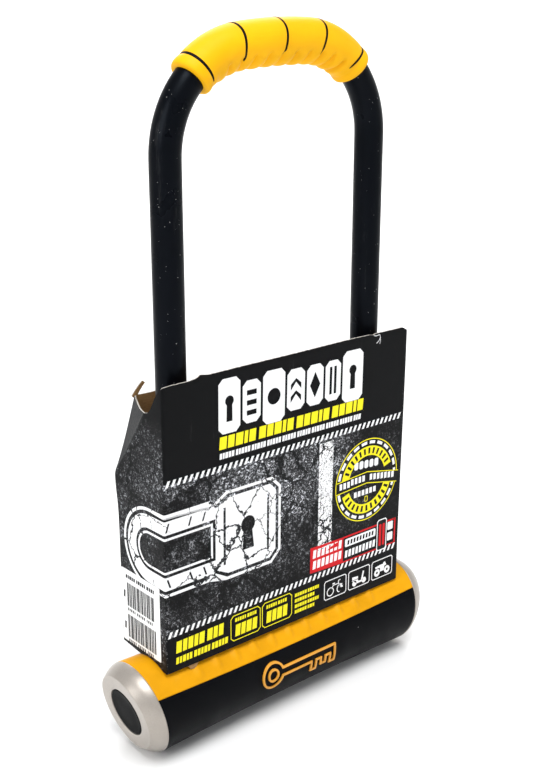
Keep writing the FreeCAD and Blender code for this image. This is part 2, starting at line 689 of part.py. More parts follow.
def card_sleeve():
    sleeve = card_profile(0).cut(card_profile(CARD_WALL))
    half = CARD_HALF
    lip = CARD_FRONT_Y + CARD_WALL
    # the back and right walls end lower than the front one
    sleeve = sleeve.cut(block(-half + CARD_WALL, half + 1, lip, 40, CARD_BACK_TOP_Z, CARD_TOP_Z + 20))
    # notch in the left wall, with a tip left at the back
    y, z = CARD_NOTCH_Y, CARD_NOTCH_Z
    tip = CARD_BACK_TOP_Z - 0.5
    notch = [(lip, CARD_TOP_Z + 5), (lip, CARD_TOP_Z - 1.5), (y - 7, z + 6), (y - 2.5, z + 0.6),
             (y + 2, z + 0.6), (y + 9, tip), (40, tip), (40, CARD_TOP_Z + 5)]
    sleeve = sleeve.cut(polygon_solid([(-half - 1, b, c) for b, c in notch], (CARD_WALL + 2, 0, 0)))
    clip = CARD_CLIP
    corner = polygon_solid([(half - clip, -40, CARD_TOP_Z + 1), (half + 1, -40, CARD_TOP_Z + 1),
                            (half + 1, -40, CARD_TOP_Z - clip)], (0, 80, 0))
    # the side walls are cut out over the crossbar
    return sleeve.cut(corner).cut(waisted_solid(-CLEAR - 0.1))


def card_base():
    """Glued base flap with a hole for each leg."""
    half = CARD_HALF - CARD_WALL - FIT
    base = block(-half, half, CARD_FRONT_Y + CARD_WALL + FIT, CARD_BACK_Y - CARD_WALL - FIT,
                 CARD_BASE_Z, CARD_BASE_Z + CARD_WALL)
    return base.cut(leg_holes(BUSH_FLANGE_R + 0.7, CARD_BASE_Z - 1, CARD_BASE_Z + 5))


# ---------------------------------------------------------------- all the pieces
def pieces():
    cap, plug = end_cap_right(), end_plug_right()
    guide, bolt, pin = bolt_guide_right(), locking_bolt_right(), drive_pin_right()
    return {
        "crossbar_tube": crossbar_tube(),
        "crossbar_jacket": crossbar_jacket(),
        "top_insert": top_insert(),
        "end_cap_right": cap,
        "end_cap_left": mirror_x(cap),
        "end_plug_right": plug,
        "end_plug_left": mirror_x(plug),
        "end_cap_pins": end_cap_pins(),
        "leg_bush_right": leg_bush(LEG_X),
        "leg_bush_left": leg_bush(-LEG_X),
        "leg_seal_right": leg_seal(LEG_X),
        "leg_seal_left": leg_seal(-LEG_X),
        "foot_pad_right": foot_pad(LEG_X),
        "foot_pad_left": foot_pad(-LEG_X),
        "bolt_guide_right": guide,
        "bolt_guide_left": mirror_x(guide),
        "cylinder_housing": cylinder_housing(),
        "cylinder_pins": cylinder_pins(),
        "drill_guard": drill_guard(),
        "keyway_bezel": keyway_bezel(),
        "front_emblem": front_emblem(),
        "cylinder_plug": cylinder_plug(),
        "tumbler_discs": tumbler_discs(),
        "disc_washers": disc_washers(),
        "side_bar": side_bar(),
        "drive_cam": drive_cam(),
        "cam_screw": cam_screw(),
        "locking_bolt_right": bolt,
        "locking_bolt_left": mirror_x(bolt),
        "drive_pin_right": pin,
        "drive_pin_left": mirror_x(pin),
        "dust_shutter": dust_shutter(),
        "shackle_bar": shackle_bar(),
        "shackle_coating": shackle_coating(),
        "shackle_grip": shackle_grip(),
        "grip_inlays": grip_inlays(),
        "card_sleeve": card_sleeve(),
        "card_base": card_base(),
    }


os.makedirs("parts", exist_ok=True)
for node, shape in pieces().items():
    solids = shape.Solids
    shape = solids[0] if len(solids) == 1 else Part.makeCompound(solids)
    shape.exportStep("parts/" + node + ".step")
    print("%-20s %2d solids  %9.1f mm3  valid %s" % (node, len(solids), shape.Volume, shape.isValid()))
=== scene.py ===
"""U lock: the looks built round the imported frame, laid out as a Blender add-on."""
import json
import math

import bmesh
import bpy
from bpy.props import FloatProperty, FloatVectorProperty, IntProperty, PointerProperty
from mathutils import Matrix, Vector, noise


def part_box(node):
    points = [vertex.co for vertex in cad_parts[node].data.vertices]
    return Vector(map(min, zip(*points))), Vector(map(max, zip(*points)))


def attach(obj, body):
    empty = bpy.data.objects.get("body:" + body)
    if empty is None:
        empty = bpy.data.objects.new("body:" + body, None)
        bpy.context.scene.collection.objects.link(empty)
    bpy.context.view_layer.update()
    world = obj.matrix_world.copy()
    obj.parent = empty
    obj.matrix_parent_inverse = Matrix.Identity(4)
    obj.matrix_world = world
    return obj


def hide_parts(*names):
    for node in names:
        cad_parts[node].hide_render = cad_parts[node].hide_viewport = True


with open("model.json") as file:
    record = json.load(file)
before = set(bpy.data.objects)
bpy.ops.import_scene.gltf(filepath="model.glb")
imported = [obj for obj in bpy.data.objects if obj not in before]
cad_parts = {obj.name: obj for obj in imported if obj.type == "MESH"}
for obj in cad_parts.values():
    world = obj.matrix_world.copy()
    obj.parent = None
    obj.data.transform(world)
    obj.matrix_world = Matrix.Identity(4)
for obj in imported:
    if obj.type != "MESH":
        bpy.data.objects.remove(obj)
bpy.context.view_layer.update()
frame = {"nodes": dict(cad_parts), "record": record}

bl_info = {
    "name": "U Lock Builder",
    "version": (1, 0, 0),
    "blender": (4, 5, 0),
    "location": "View3D > Sidebar > U Lock",
    "description": "Builds a bicycle u lock with its card sleeve round the packed frame",
    "category": "Object",
}

MM = 0.001
COATING_LOW, COATING_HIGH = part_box("shackle_coating")
CARD_LOW, CARD_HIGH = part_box("card_sleeve")
COVER_SLANT = 9.0
FACE_SLANT = 12.0
COVER_WALL = 2.2 * MM
EDGE_WIDTH = 0.45 * MM
EDGE_SINK = 0.30 * MM
RIB_PITCH = 12.0 * MM
RIB_HEIGHT = 0.95 * MM
RIB_REACH = 66 * MM
CAP_BORE = 13.4 * MM
PLUG_RADIUS = 12.6 * MM


def size_property(name, value, about):
    """A length that a user may change, in metres."""
    return FloatProperty(name=name, default=value, description=about, unit="LENGTH", precision=5)


def colour_property(name, value, about):
    """A colour that a user may change."""
    return FloatVectorProperty(name=name, default=value, description=about, subtype="COLOR",
                               size=3, min=0.0, max=1.0)


class LockSizes(bpy.types.PropertyGroup):
    """Sizes of the lock's visible pieces."""
    leg_radius: size_property("Leg radius", COATING_HIGH[1], "Radius of the coated leg")
    leg_place: size_property("Leg place", COATING_HIGH[0] - COATING_HIGH[1],
                             "Distance of each leg from the middle")
    crown_top: size_property("Crown top", COATING_HIGH[2], "Height of the shackle's top")
    coating_foot: size_property("Coating foot", COATING_LOW[2], "Lower end of the coating")
    coating_wall: size_property("Coating wall", 0.6 * MM, "Thickness of the coating")
    corner_left: size_property("Left corner", 50 * MM, "Bend radius of the left shoulder")
    corner_right: size_property("Right corner", 46 * MM, "Bend radius of the right shoulder")
    crown_radius: size_property("Crown radius", 300 * MM, "Bend radius of the crown between them")
    crown_place: size_property("Crown place", 17.5 * MM, "Where the crown is highest")
    grip_half: size_property("Grip half length", 55 * MM, "Half of the grip, along the bar")
    grip_end_radius: size_property("Grip end radius", 10.15 * MM, "Radius at the grip's ends")
    grip_swell: size_property("Grip swell", 0.85 * MM, "Extra radius in the grip's middle")
    finger_pitch: size_property("Finger pitch", 8.7 * MM, "Spacing of the finger ridges")
    finger_depth: size_property("Finger depth", 2.0 * MM, "Depth of the finger ridges")
    inlay_width: size_property("Inlay width", 1.35 * MM, "Width of the grip's black stripes")
    axis_height: size_property("Crossbar axis", 24.7 * MM, "Height of the crossbar's middle line")
    cover_end_radius: size_property("Cover end radius", 24.7 * MM, "Crossbar radius at its ends")
    cover_mid_radius: size_property("Cover middle radius", 23.4 * MM, "Crossbar radius in the middle")
    cover_half: size_property("Cover half length", 89.7 * MM, "Half of the cover, on its axis")
    face_place: size_property("Face place", 98.2 * MM, "End face's distance on the axis")
    cap_crease: size_property("Cap crease", 20.3 * MM, "Radius of the crease round the cap's face")
    cap_slope: size_property("Cap slope", 7.9 * MM, "How far the cap's rim lies behind its face")
    edge_rise_end: size_property("Insert edge at ends", 13.9 * MM, "Insert's edge above the axis")
    edge_rise_mid: size_property("Insert edge in middle", 11.9 * MM, "The same in the middle")
    card_half: size_property("Sleeve half width", 82.7 * MM, "Half width of the card sleeve")
    card_front: size_property("Sleeve front", CARD_LOW[1], "Place of the sleeve's front wall")
    card_back: size_property("Sleeve back", CARD_HIGH[1], "Place of the sleeve's back wall")
    card_wall: size_property("Card thickness", 0.8 * MM, "Thickness of the card")
    stripe_count: IntProperty(name="Grip stripes", default=5, min=1, max=9,
                              description="Number of black stripes on the grip")


class LockColours(bpy.types.PropertyGroup):
    """Colours of the lock's finishes."""
    coating: colour_property("Coating", (0.0016, 0.0020, 0.0032), "Vinyl coating of the shackle")
    grip: colour_property("Grip", (0.92, 0.46, 0.003), "Moulded grip on the crown")
    insert: colour_property("Insert", (0.73, 0.330, 0.0014), "Top insert of the crossbar")
    cover: colour_property("Cover", (0.0016, 0.0019, 0.0029), "Crossbar cover")
    caps: colour_property("End caps", (0.360, 0.325, 0.288), "Painted end caps")
    rubber: colour_property("Rubber", (0.0030, 0.0032, 0.0036), "Plugs, seals and stripes")
    emblem: colour_property("Emblem", (0.80, 0.35, 0.025), "Raised emblem on the cover")
    card_ink: colour_property("Card ink", (0.0034, 0.0037, 0.0042), "Black print on the card")
    kraft: colour_property("Kraft board", (0.30, 0.175, 0.075), "Unprinted inside of the card")
    ink_white: colour_property("White ink", (0.90, 0.90, 0.91), "White print")
    ink_yellow: colour_property("Yellow ink", (0.90, 0.80, 0.015), "Yellow print")
    ink_red: colour_property("Red ink", (0.62, 0.008, 0.013), "Red print")
    floor: colour_property("Floor", (0.86, 0.86, 0.855), "Studio floor")


def sizes():
    return bpy.context.scene.lock_sizes


def colours():
    return bpy.context.scene.lock_colours


# ------------------------------------------------------------------ modelling helpers
def clear_selection():
    """Everything is deselected first, since the frame's nodes come in selected."""
    if bpy.context.mode != "OBJECT":
        bpy.ops.object.mode_set(mode="OBJECT")
    bpy.ops.object.select_all(action="DESELECT")


def make_active(piece):
    clear_selection()
    piece.select_set(True)
    bpy.context.view_layer.objects.active = piece
    return piece


def pick(piece, kind, test):
    """In edit mode, select the vertices, edges or faces whose middle passes the test."""
    bpy.ops.object.mode_set(mode="EDIT")
    bpy.ops.mesh.select_mode(type=kind)
    bpy.ops.mesh.select_all(action="DESELECT")
    shape = bmesh.from_edit_mesh(piece.data)
    parts = {"VERT": shape.verts, "EDGE": shape.edges, "FACE": shape.faces}[kind]
    for part in parts:
        if kind == "VERT":
            middle = part.co
        elif kind == "EDGE":
            middle = (part.verts[0].co + part.verts[1].co) / 2
        else:
            middle = part.calc_center_median()
        if test(middle):
            part.select_set(True)
    shape.select_flush_mode()
    bmesh.update_edit_mesh(piece.data)


def apply_modifier(piece, kind, **settings):
    """Add one modifier with its settings and apply it."""
    make_active(piece)
    modifier = piece.modifiers.new(kind.title(), kind)
    for name, value in settings.items():
        setattr(modifier, name, value)
    bpy.ops.object.modifier_apply(modifier=modifier.name)


def place_points(piece, rule):
    """Move each point of a mesh to where the rule sends it."""
    for point in piece.data.vertices:
        point.co = rule(point.co)
    piece.data.update()


def mend_normals(piece):
    """Merge doubles and make every face point outwards."""
    make_active(piece)
    bpy.ops.object.mode_set(mode="EDIT")
    bpy.ops.mesh.select_mode(type="VERT")
    bpy.ops.mesh.select_all(action="SELECT")
    bpy.ops.mesh.remove_doubles(threshold=0.004 * MM)
    bpy.ops.mesh.normals_make_consistent(inside=False)
    bpy.ops.object.mode_set(mode="OBJECT")


def place_piece(piece, name, materials, body, nodes=(), smooth=35.0):
    """Apply the piece's place, name it, paint it and let it ride on its body."""
    make_active(piece)
    bpy.ops.object.transform_apply(location=True, rotation=True, scale=True)
    piece.name = name
    piece.data.name = name
    if materials:
        piece.data.materials.clear()
        for material in materials:
            piece.data.materials.append(material)
    bpy.ops.object.shade_smooth_by_angle(angle=math.radians(smooth))
    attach(piece, body)
    if nodes:
        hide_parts(*nodes)
    clear_selection()
    return piece


def copy_mirrored(piece, name):
    """A copy with its own mesh on the other side, its faces turned the right way."""
    clear_selection()
    piece.select_set(True)
    bpy.context.view_layer.objects.active = piece
    bpy.ops.object.duplicate(linked=False)
    twin = bpy.context.object
    place_points(twin, lambda co: Vector((-co.x, co.y, co.z)))
    bpy.ops.object.mode_set(mode="EDIT")
    bpy.ops.mesh.select_all(action="SELECT")
    bpy.ops.mesh.flip_normals()
    bpy.ops.object.mode_set(mode="OBJECT")
    twin.name = name
    return twin


def grid_piece(columns, rows, rule):
    """A grid of faces laid on a surface: rule(u, v) with u and v from 0 to 1."""
    clear_selection()
    bpy.ops.mesh.primitive_grid_add(x_subdivisions=columns, y_subdivisions=rows, size=2)
    piece = bpy.context.object
    place_points(piece, lambda co: rule((co.x + 1) / 2, (co.y + 1) / 2))
    return piece


def smooth_step(low, high, value):
    share = min(1.0, max(0.0, (value - low) / (high - low)))
    return share * share * (3 - 2 * share)


def along_line(points, value):
    """Height of a polyline of (place, height) pairs at a place."""
    if value <= points[0][0]:
        return points[0][1]
    for (x0, y0), (x1, y1) in zip(points, points[1:]):
        if value <= x1:
            return y0 + (y1 - y0) * (value - x0) / (x1 - x0)
    return points[-1][1]


# ------------------------------------------------------------------ shader groups
def new_group(name, inputs, outputs):
    """A shader node group with named inputs and outputs."""
    group = bpy.data.node_groups.new(name, "ShaderNodeTree")
    for label, kind, value in inputs:
        socket = group.interface.new_socket(name=label, in_out="INPUT", socket_type=kind)
        if value is not None:
            socket.default_value = value
    for label, kind in outputs:
        group.interface.new_socket(name=label, in_out="OUTPUT", socket_type=kind)
    start = group.nodes.new("NodeGroupInput")
    end = group.nodes.new("NodeGroupOutput")
    return group, start, end


def add_node(tree, kind, values=(), **settings):
    """One node with its settings and the values of its unlinked inputs."""
    node = tree.nodes.new("ShaderNode" + kind)
    for name, value in settings.items():
        setattr(node, name, value)
    for name, value in values:
        node.inputs[name].default_value = value
    return node


def wire(tree, *pairs):
    for source, target in pairs:
        tree.links.new(source, target)


def band(tree, source, low, high, start=0.0, end=1.0):
    """A clamped ramp of one value between two limits."""
    node = add_node(tree, "MapRange", (("From Min", low), ("From Max", high),
                                       ("To Min", start), ("To Max", end)))
    wire(tree, (source, node.inputs["Value"]))
    return node.outputs["Result"]


def maths(tree, operation, first, second=None):
    """One maths node; each side is a socket or a number."""
    node = add_node(tree, "Math", operation=operation)
    for slot, side in ((0, first), (1, second)):
        if side is None:
            continue
        if isinstance(side, (int, float)):
            node.inputs[slot].default_value = side
        else:
            wire(tree, (side, node.inputs[slot]))
    return node.outputs[0]


def blend_colours(tree, share, first, second):
    """Mix two colours; each is a socket or a plain colour."""
    node = add_node(tree, "Mix", data_type="RGBA")
    if isinstance(share, (int, float)):
        node.inputs[0].default_value = share
    else:
        wire(tree, (share, node.inputs[0]))
    for slot, side in ((6, first), (7, second)):
        if isinstance(side, (tuple, list)):
            node.inputs[slot].default_value = tuple(side)[:3] + (1.0,)
        else:
            wire(tree, (side, node.inputs[slot]))
    return node.outputs[2]


def noise_value(tree, vector, scale, detail=2.0, roughness=0.5):
    node = add_node(tree, "TexNoise", (("Scale", scale), ("Detail", detail),
                                       ("Roughness", roughness)))
    wire(tree, (vector, node.inputs["Vector"]))
    return node.outputs["Fac"]


def make_grain_group():
    """Fine moulded grain: a height, and a mask that varies the roughness."""
    group, start, end = new_group(
        "Moulded grain",
        [("Vector", "NodeSocketVector", None), ("Scale", "NodeSocketFloat", 3.0),
         ("Depth", "NodeSocketFloat", 1.0)],
        [("Height", "NodeSocketFloat"), ("Variation", "NodeSocketFloat")])
    fine = add_node(group, "TexNoise", (("Detail", 3.0), ("Roughness", 0.6)))
    cells = add_node(group, "TexVoronoi", feature="SMOOTH_F1")
    broad = add_node(group, "TexNoise", (("Scale", 0.06), ("Detail", 3.0)))
    wire(group, (start.outputs["Vector"], fine.inputs["Vector"]),
         (start.outputs["Vector"], cells.inputs["Vector"]),
         (start.outputs["Vector"], broad.inputs["Vector"]),
         (start.outputs["Scale"], fine.inputs["Scale"]),
         (start.outputs["Scale"], cells.inputs["Scale"]))
    both = maths(group, "ADD", fine.outputs["Fac"], cells.outputs["Distance"])
    wire(group, (maths(group, "MULTIPLY", both, start.outputs["Depth"]), end.inputs["Height"]),
         (broad.outputs["Fac"], end.inputs["Variation"]))
    return group


def make_dust_group():
    """Scattered pale specks of dust and lint."""
    group, start, end = new_group(
        "Dust specks",
        [("Vector", "NodeSocketVector", None), ("Scale", "NodeSocketFloat", 0.25),
         ("Size", "NodeSocketFloat", 0.05)],
        [("Mask", "NodeSocketFloat")])
    cells = add_node(group, "TexVoronoi", (("Randomness", 1.0),), feature="F1")
    wire(group, (start.outputs["Vector"], cells.inputs["Vector"]),
         (start.outputs["Scale"], cells.inputs["Scale"]))
    apart = add_node(group, "SeparateColor")
    wire(group, (cells.outputs["Color"], apart.inputs["Color"]))
    reach = maths(group, "MULTIPLY", maths(group, "POWER", apart.outputs["Red"], 3.0),
                  start.outputs["Size"])
    near = maths(group, "LESS_THAN", cells.outputs["Distance"], reach)
    wire(group, (near, end.inputs["Mask"]))
    return group


def make_scuff_group():
    """Long faint scuffs and hairline scratches."""
    group, start, end = new_group(
        "Scuffs",
        [("Vector", "NodeSocketVector", None), ("Scale", "NodeSocketFloat", 0.12),
         ("Amount", "NodeSocketFloat", 0.5)],
        [("Mask", "NodeSocketFloat")])
    warp = add_node(group, "TexNoise", (("Scale", 0.05), ("Detail", 2.0)))
    stretch = add_node(group, "VectorMath", operation="MULTIPLY")
    stretch.inputs[1].default_value = (1.0, 1.0, 0.12)
    shift = add_node(group, "VectorMath", operation="ADD")
    wire(group, (start.outputs["Vector"], warp.inputs["Vector"]),
         (start.outputs["Vector"], stretch.inputs[0]),
         (stretch.outputs[0], shift.inputs[0]), (warp.outputs["Color"], shift.inputs[1]))
    streak = add_node(group, "TexNoise", (("Detail", 8.0), ("Roughness", 0.75)))
    wire(group, (shift.outputs[0], streak.inputs["Vector"]),
         (start.outputs["Scale"], streak.inputs["Scale"]))
    sharp = band(group, streak.outputs["Fac"], 0.60, 0.72)
    wire(group, (maths(group, "MULTIPLY", sharp, start.outputs["Amount"]), end.inputs["Mask"]))
    return group


def make_tone_group():
    """Slow drift between two tones of one colour."""
    group, start, end = new_group(
        "Tone drift",
        [("Vector", "NodeSocketVector", None), ("Scale", "NodeSocketFloat", 0.03),
         ("Light tone", "NodeSocketColor", None), ("Dark tone", "NodeSocketColor", None)],
        [("Color", "NodeSocketColor")])
    drift = add_node(group, "TexNoise", (("Detail", 4.0), ("Roughness", 0.55)))
    wire(group, (start.outputs["Vector"], drift.inputs["Vector"]),
         (start.outputs["Scale"], drift.inputs["Scale"]))
    share = band(group, drift.outputs["Fac"], 0.35, 0.68)
    wire(group, (blend_colours(group, share, start.outputs["Light tone"],
                               start.outputs["Dark tone"]), end.inputs["Color"]))
    return group


def make_crack_group():
    """Branching cracks and flaked specks, as in worn road paint."""
    group, start, end = new_group(
        "Cracks",
        [("Vector", "NodeSocketVector", None), ("Scale", "NodeSocketFloat", 0.07),
         ("Width", "NodeSocketFloat", 0.02), ("Flakes", "NodeSocketFloat", 0.62)],
        [("Cracks", "NodeSocketFloat"), ("Flaked", "NodeSocketFloat")])
    warp = add_node(group, "TexNoise", (("Scale", 0.16), ("Detail", 5.0), ("Roughness", 0.65)))
    spread = add_node(group, "VectorMath", operation="SCALE")
    spread.inputs["Scale"].default_value = 9.0
    shift = add_node(group, "VectorMath", operation="ADD")
    cells = add_node(group, "TexVoronoi", feature="DISTANCE_TO_EDGE")
    wire(group, (start.outputs["Vector"], warp.inputs["Vector"]),
         (warp.outputs["Color"], spread.inputs[0]),
         (start.outputs["Vector"], shift.inputs[0]), (spread.outputs[0], shift.inputs[1]),
         (shift.outputs[0], cells.inputs["Vector"]),
         (start.outputs["Scale"], cells.inputs["Scale"]))
    where = noise_value(group, start.outputs["Vector"], 0.035, 2.0)
    width = maths(group, "MULTIPLY", start.outputs["Width"], band(group, where, 0.38, 0.62))
    crack = maths(group, "LESS_THAN", cells.outputs["Distance"], width)
    chips = noise_value(group, start.outputs["Vector"], 1.5, 4.0, 0.7)
    flaked = maths(group, "GREATER_THAN", chips, start.outputs["Flakes"])
    wire(group, (crack, end.inputs["Cracks"]),
         (maths(group, "MAXIMUM", crack, flaked), end.inputs["Flaked"]))
    return group


def make_asphalt_group():
    """Printed road surface: pale aggregate specks, dark cracks and shaded patches."""
    group, start, end = new_group(
        "Printed asphalt",
        [("Vector", "NodeSocketVector", None), ("Light", "NodeSocketFloat", 1.0)],
        [("Value", "NodeSocketFloat")])
    vector = start.outputs["Vector"]
    grit = band(group, noise_value(group, vector, 0.62, 4.0, 0.74), 0.535, 0.66)
    fine = band(group, noise_value(group, vector, 1.3, 2.0, 0.6), 0.56, 0.69)
    patch = band(group, noise_value(group, vector, 0.042, 3.0, 0.55), 0.40, 0.63, 0.06, 1.0)
    most = maths(group, "MAXIMUM", grit, maths(group, "MULTIPLY", fine, 0.6))
    specks = maths(group, "MULTIPLY", maths(group, "POWER", most, 1.5), patch)
    shade = maths(group, "ADD", maths(group, "MULTIPLY", specks, 1.3),
                  maths(group, "MULTIPLY", patch, 0.030))
    cracks = group.nodes.new("ShaderNodeGroup")
    cracks.node_tree = bpy.data.node_groups["Cracks"]
    cracks.inputs["Scale"].default_value = 0.055
    cracks.inputs["Width"].default_value = 0.055
    wire(group, (vector, cracks.inputs["Vector"]))
    clear = maths(group, "SUBTRACT", 1.0, maths(group, "MULTIPLY", cracks.outputs["Cracks"], 0.9))
    lit = maths(group, "MULTIPLY", maths(group, "MULTIPLY", shade, clear),
                start.outputs["Light"])
    wire(group, (maths(group, "ADD", lit, 0.006), end.inputs["Value"]))
    return group


def make_groups():
    make_grain_group()
    make_dust_group()
    make_scuff_group()
    make_tone_group()
    make_crack_group()
    make_asphalt_group()


# ------------------------------------------------------------------ materials
def start_material(name):
    """A material with its shader and the object's own coordinates in millimetres."""
    material = bpy.data.materials.new(name)
    material.use_nodes = True
    tree = material.node_tree
    shader = tree.nodes["Principled BSDF"]
    place = add_node(tree, "TexCoord")
    scale = add_node(tree, "VectorMath", operation="SCALE")
    scale.inputs["Scale"].default_value = 1000.0
    wire(tree, (place.outputs["Object"], scale.inputs[0]))
    return material, tree, shader, scale.outputs[0]


def add_group(tree, name, vector, **values):
    node = tree.nodes.new("ShaderNodeGroup")
    node.node_tree = bpy.data.node_groups[name]
    wire(tree, (vector, node.inputs["Vector"]))
    for label, value in values.items():
        node.inputs[label.replace("_", " ")].default_value = value
    return node.outputs


def add_bump(tree, shader, height, depth):
    """Feed a height, in shares of the depth, to the shader's normal."""
    bump = add_node(tree, "Bump", (("Strength", 1.0), ("Distance", depth)))
    wire(tree, (height, bump.inputs["Height"]), (bump.outputs["Normal"], shader.inputs["Normal"]))


def tinted(colour, share):
    return tuple(min(1.0, max(0.0, part * share)) for part in colour) + (1.0,)


def moulded(name, colour, rough=0.45, grain=3.0, depth=0.02, tone=0.78, dust=0.0, scuffs=0.0,
            specular=0.5, pale=(0.55, 0.55, 0.53), lint=0.16, tinge=(1.0, 1.0, 1.0)):
    """Moulded or painted finish with grain, tone drift, scuffs and dust."""
    material, tree, shader, vector = start_material(name)
    shader.inputs["Specular IOR Level"].default_value = specular
    shader.inputs["Specular Tint"].default_value = tinge + (1.0,)
    drift = add_group(tree, "Tone drift", vector, Scale=0.035,
                      Light_tone=tinted(colour, 1.0), Dark_tone=tinted(colour, tone))
    result = drift["Color"]
    grain_out = add_group(tree, "Moulded grain", vector, Scale=grain, Depth=1.0)
    rough_value = band(tree, grain_out["Variation"], 0.3, 0.7, rough - 0.07, rough + 0.09)
    if scuffs:
        mask = add_group(tree, "Scuffs", vector, Scale=0.11, Amount=scuffs)["Mask"]
        result = blend_colours(tree, mask, result, tinted(pale, 0.6))
        rough_value = maths(tree, "ADD", rough_value, maths(tree, "MULTIPLY", mask, 0.3))
    if dust:
        specks = add_group(tree, "Dust specks", vector, Scale=lint, Size=dust)["Mask"]
        result = blend_colours(tree, maths(tree, "MULTIPLY", specks, 0.6), result, pale)
    wire(tree, (result, shader.inputs["Base Color"]), (rough_value, shader.inputs["Roughness"]))
    add_bump(tree, shader, grain_out["Height"], depth * MM)
    return material


def make_cap_paint():
    """Silver paint with fine metal flake and a slightly orange-peel surface."""
    tone = colours().caps
    material, tree, shader, vector = start_material("Silver cap paint")
    shader.inputs["Metallic"].default_value = 0.55
    shader.inputs["Coat Weight"].default_value = 0.25
    shader.inputs["Coat Roughness"].default_value = 0.3
    flake = add_node(tree, "TexVoronoi", (("Scale", 7.0),), feature="F1")
    wire(tree, (vector, flake.inputs["Vector"]))
    apart = add_node(tree, "SeparateColor")
    wire(tree, (flake.outputs["Color"], apart.inputs["Color"]))
    glint = band(tree, apart.outputs["Green"], 0.0, 1.0, 0.0, 1.0)
    body = add_group(tree, "Tone drift", vector, Scale=0.05, Light_tone=tinted(tone, 1.05),
                     Dark_tone=tinted(tone, 0.9))["Color"]
    mixed = blend_colours(tree, maths(tree, "MULTIPLY", glint, 0.30), body, tinted(tone, 1.5))
    mask = add_group(tree, "Scuffs", vector, Scale=0.2, Amount=0.25)["Mask"]
    mixed = blend_colours(tree, mask, mixed, tinted(tone, 0.55))
    wire(tree, (mixed, shader.inputs["Base Color"]),
         (band(tree, apart.outputs["Blue"], 0.0, 1.0, 0.34, 0.46), shader.inputs["Roughness"]))
    grain_out = add_group(tree, "Moulded grain", vector, Scale=1.4, Depth=1.0)
    add_bump(tree, shader, grain_out["Height"], 0.012 * MM)
    return material


def make_metal(name, colour, rough, stretch):
    """Drawn or turned bare metal with fine lines along one direction."""
    material, tree, shader, vector = start_material(name)
    shader.inputs["Metallic"].default_value = 1.0
    lines = add_node(tree, "VectorMath", operation="MULTIPLY")
    lines.inputs[1].default_value = stretch
    wire(tree, (vector, lines.inputs[0]))
    brushed = noise_value(tree, lines.outputs[0], 4.0, 3.0, 0.6)
    body = add_group(tree, "Tone drift", vector, Scale=0.08, Light_tone=tinted(colour, 1.0),
                     Dark_tone=tinted(colour, 0.75))["Color"]
    wire(tree, (body, shader.inputs["Base Color"]),
         (band(tree, brushed, 0.3, 0.7, rough - 0.08, rough + 0.12), shader.inputs["Roughness"]))
    add_bump(tree, shader, brushed, 0.006 * MM)
    return material


def make_kraft():
    """Unbleached board: short fibres and flecks."""
    tone = colours().kraft
    material, tree, shader, vector = start_material("Kraft board")
    shader.inputs["Specular IOR Level"].default_value = 0.2
    shader.inputs["Roughness"].default_value = 0.9
    fibres = add_node(tree, "VectorMath", operation="MULTIPLY")
    fibres.inputs[1].default_value = (0.35, 1.0, 2.2)
    wire(tree, (vector, fibres.inputs[0]))
    strands = noise_value(tree, fibres.outputs[0], 1.1, 5.0, 0.7)
    body = blend_colours(tree, band(tree, strands, 0.35, 0.7), tinted(tone, 0.75),
                         tinted(tone, 1.25))
    flecks = add_group(tree, "Dust specks", vector, Scale=0.5, Size=0.22)["Mask"]
    body = blend_colours(tree, maths(tree, "MULTIPLY", flecks, 0.6), body, tinted(tone, 0.35))
    wire(tree, (body, shader.inputs["Base Color"]))
    add_bump(tree, shader, strands, 0.05 * MM)
    return material


def make_card_edge():
    """Cut edge of the board: pale layers and a darker core."""
    material, tree, shader, vector = start_material("Card cut edge")
    shader.inputs["Roughness"].default_value = 0.9
    rough = noise_value(tree, vector, 1.8, 4.0, 0.7)
    body = blend_colours(tree, band(tree, rough, 0.35, 0.65), (0.30, 0.27, 0.22),
                         (0.62, 0.60, 0.56))
    wire(tree, (body, shader.inputs["Base Color"]))
    add_bump(tree, shader, rough, 0.12 * MM)
    return material


def sheet_surface(tree, shader, vector, smooth, rough):
    """The printed board's slightly uneven surface."""
    sheet = noise_value(tree, vector, 0.9, 5.0, 0.6)
    wire(tree, (band(tree, sheet, 0.3, 0.7, smooth, rough), shader.inputs["Roughness"]))
    add_bump(tree, shader, sheet, 0.02 * MM)


